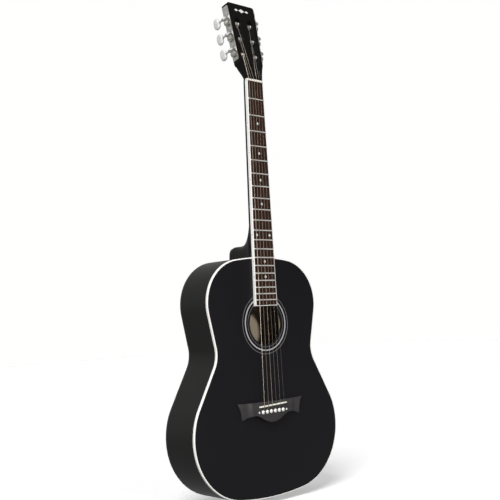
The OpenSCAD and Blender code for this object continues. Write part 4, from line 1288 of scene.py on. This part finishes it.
def buildReel(k):
    t = tunerShape
    place = tunerPlace(k)
    row = k - 1 if k <= 3 else 6 - k
    z = t["roller0"] + t["pitch"] * row
    out = headShape["slotX"] + headShape["slotW"] / 2 - sideX(z) - 0.5
    inner = out - headShape["slotW"] + 1.1
    turned = place @ alongX
    gear = gearWheel(place)
    hub = lathe("hub", [(0, t["gearX"] - 3.2), (3.9, t["gearX"] - 3.2), (4, t["gearX"] - 2.8), (4, t["gearX"] - 1.6), (0, t["gearX"] - 1.6)], turned, 32)
    dress(joined(f"gearWheel{k}", [gear, hub]), f"reel_{k}", finishes["brass"], [f"roller_{k}"])
    r = t["barrelR"]
    profile = [(0, inner - t["stub"]), (1.7, inner - t["stub"]), (2, inner - t["stub"] + 0.4), (2, inner), (r - 0.4, inner), (r, inner + 0.4),
               (r, inner + 1.1), (r - 0.4, inner + 1.5), (r - 0.5, out - 1.5), (r, out - 1.1), (r, out - 0.4), (r - 0.4, out), (3, out), (3, t["gearX"] - 3),
               (0, t["gearX"] - 3)]
    barrel = lathe("barrel", profile, turned, 36)
    cap = slottedScrew("cap", 2.8, 1.15, place @ Matrix.Translation((t["gearX"] + t["gearW"] / 2 - 0.02, 0, 0)) @ alongX @ Matrix.Rotation(0.5 * k, 4, "Z"))
    dress(joined(f"rollerBarrel{k}", [barrel, cap]), f"reel_{k}", finishes["nickel"])
    gauge = boardShape["gauge"][k - 1] / 2
    turns, middle = 3.2, (inner + out) / 2
    path = []
    for i in range(97):
        a = 2 * math.pi * turns * i / 96
        x = middle + (i / 96 - 0.5) * turns * (2 * gauge + 0.12)
        rr = r - 0.45 + gauge
        path.append(place @ Vector((x, -rr * math.cos(a), rr * math.sin(a))))
    coil = tube("coil", path, gauge, 8)
    wound = "bronze" if k < 5 else "plainSteel"
    dress(joined(f"stringCoil{k}", [coil]), f"reel_{k}", finishes[wound])


def stringPath(k):
    r = boardShape["gauge"][k - 1] / 2
    side = -1 if k <= 3 else 1
    row = k - 1 if k <= 3 else 6 - k
    x0, x1 = (k - 3.5) * bridgeShape["pinPitch"], (k - 3.5) * boardShape["nutPitch"]
    saddleY = topY - bridgeShape["saddleHigh"] - r - 0.1
    saddleZ = bridgeZ - 1.5 + x0 * math.tan(math.radians(bridgeShape["slant"]))
    z = tunerShape["roller0"] + tunerShape["pitch"] * row
    last = headPlace @ Vector((side * headShape["slotX"], tunerShape["axisDeep"] - tunerShape["barrelR"] + 0.45 - r, z))
    pts = [Vector((x0, topY - 8.2, pinZ + 2.4)), Vector((x0, topY - 9 - r, pinZ + 4.0)), Vector((x0, saddleY + 1.0, saddleZ - 3.4)),
           Vector((x0, saddleY + 0.12, saddleZ - 0.7)), Vector((x0, saddleY, saddleZ)), Vector((x0, saddleY + 0.03, saddleZ + 0.8)),
           Vector((x1, nutTopY + 0.45 - 0.6 * r, nutZ)), Vector((x1, nutTopY + 0.5 - 0.6 * r, nutZ + 1.2)),
           Vector((x1, nutTopY + 1.1 - 0.6 * r, nutZ + 3.4)), last]
    return pts, r


def buildStrings():
    for kinds, name, look in (((1, 2, 3, 4), "woundStrings", "bronze"), ((5, 6), "plainStrings", "plainSteel")):
        made = []
        for k in kinds:
            pts, r = stringPath(k)
            made.append(tube("string", pts, r, 10))
        dress(joined(name, made), "guitar", finishes[look], ["strings"] if look == "bronze" else ())


for side in (1, -1):
    buildTunerPlate(side)
buildScrews()
for k in range(1, 7):
    buildWorm(k)
    buildButton(k)
    buildReel(k)
buildStrings()
print("tuners and strings are built")

# ---------- inside the box ----------

insideLook = {"top_linings": ("mahogany", "inner_wood"), "back_linings": ("mahogany", "inner_wood"),
              "neck_block": ("mahogany", "inner_wood"), "tail_block": ("mahogany", "inner_wood"),
              "x_braces": ("spruce", "brace_spruce"), "top_braces": ("spruce", "brace_spruce"),
              "bridge_plate": ("mahogany", "inner_wood"), "back_braces": ("spruce", "brace_spruce"),
              "back_strip": ("spruce", "inner_wood"), "truss_rod": ("steel", "steel")}
for node, (look, slotName) in insideLook.items():
    nodes[node].data.materials.clear()
    nodes[node].data.materials.append(finishes[look])
    edge = nodes[node].modifiers.new("edge", "BEVEL")
    edge.width = 0.4 * mm
    edge.segments = 2
    edge.limit_method = "ANGLE"

print("finished")
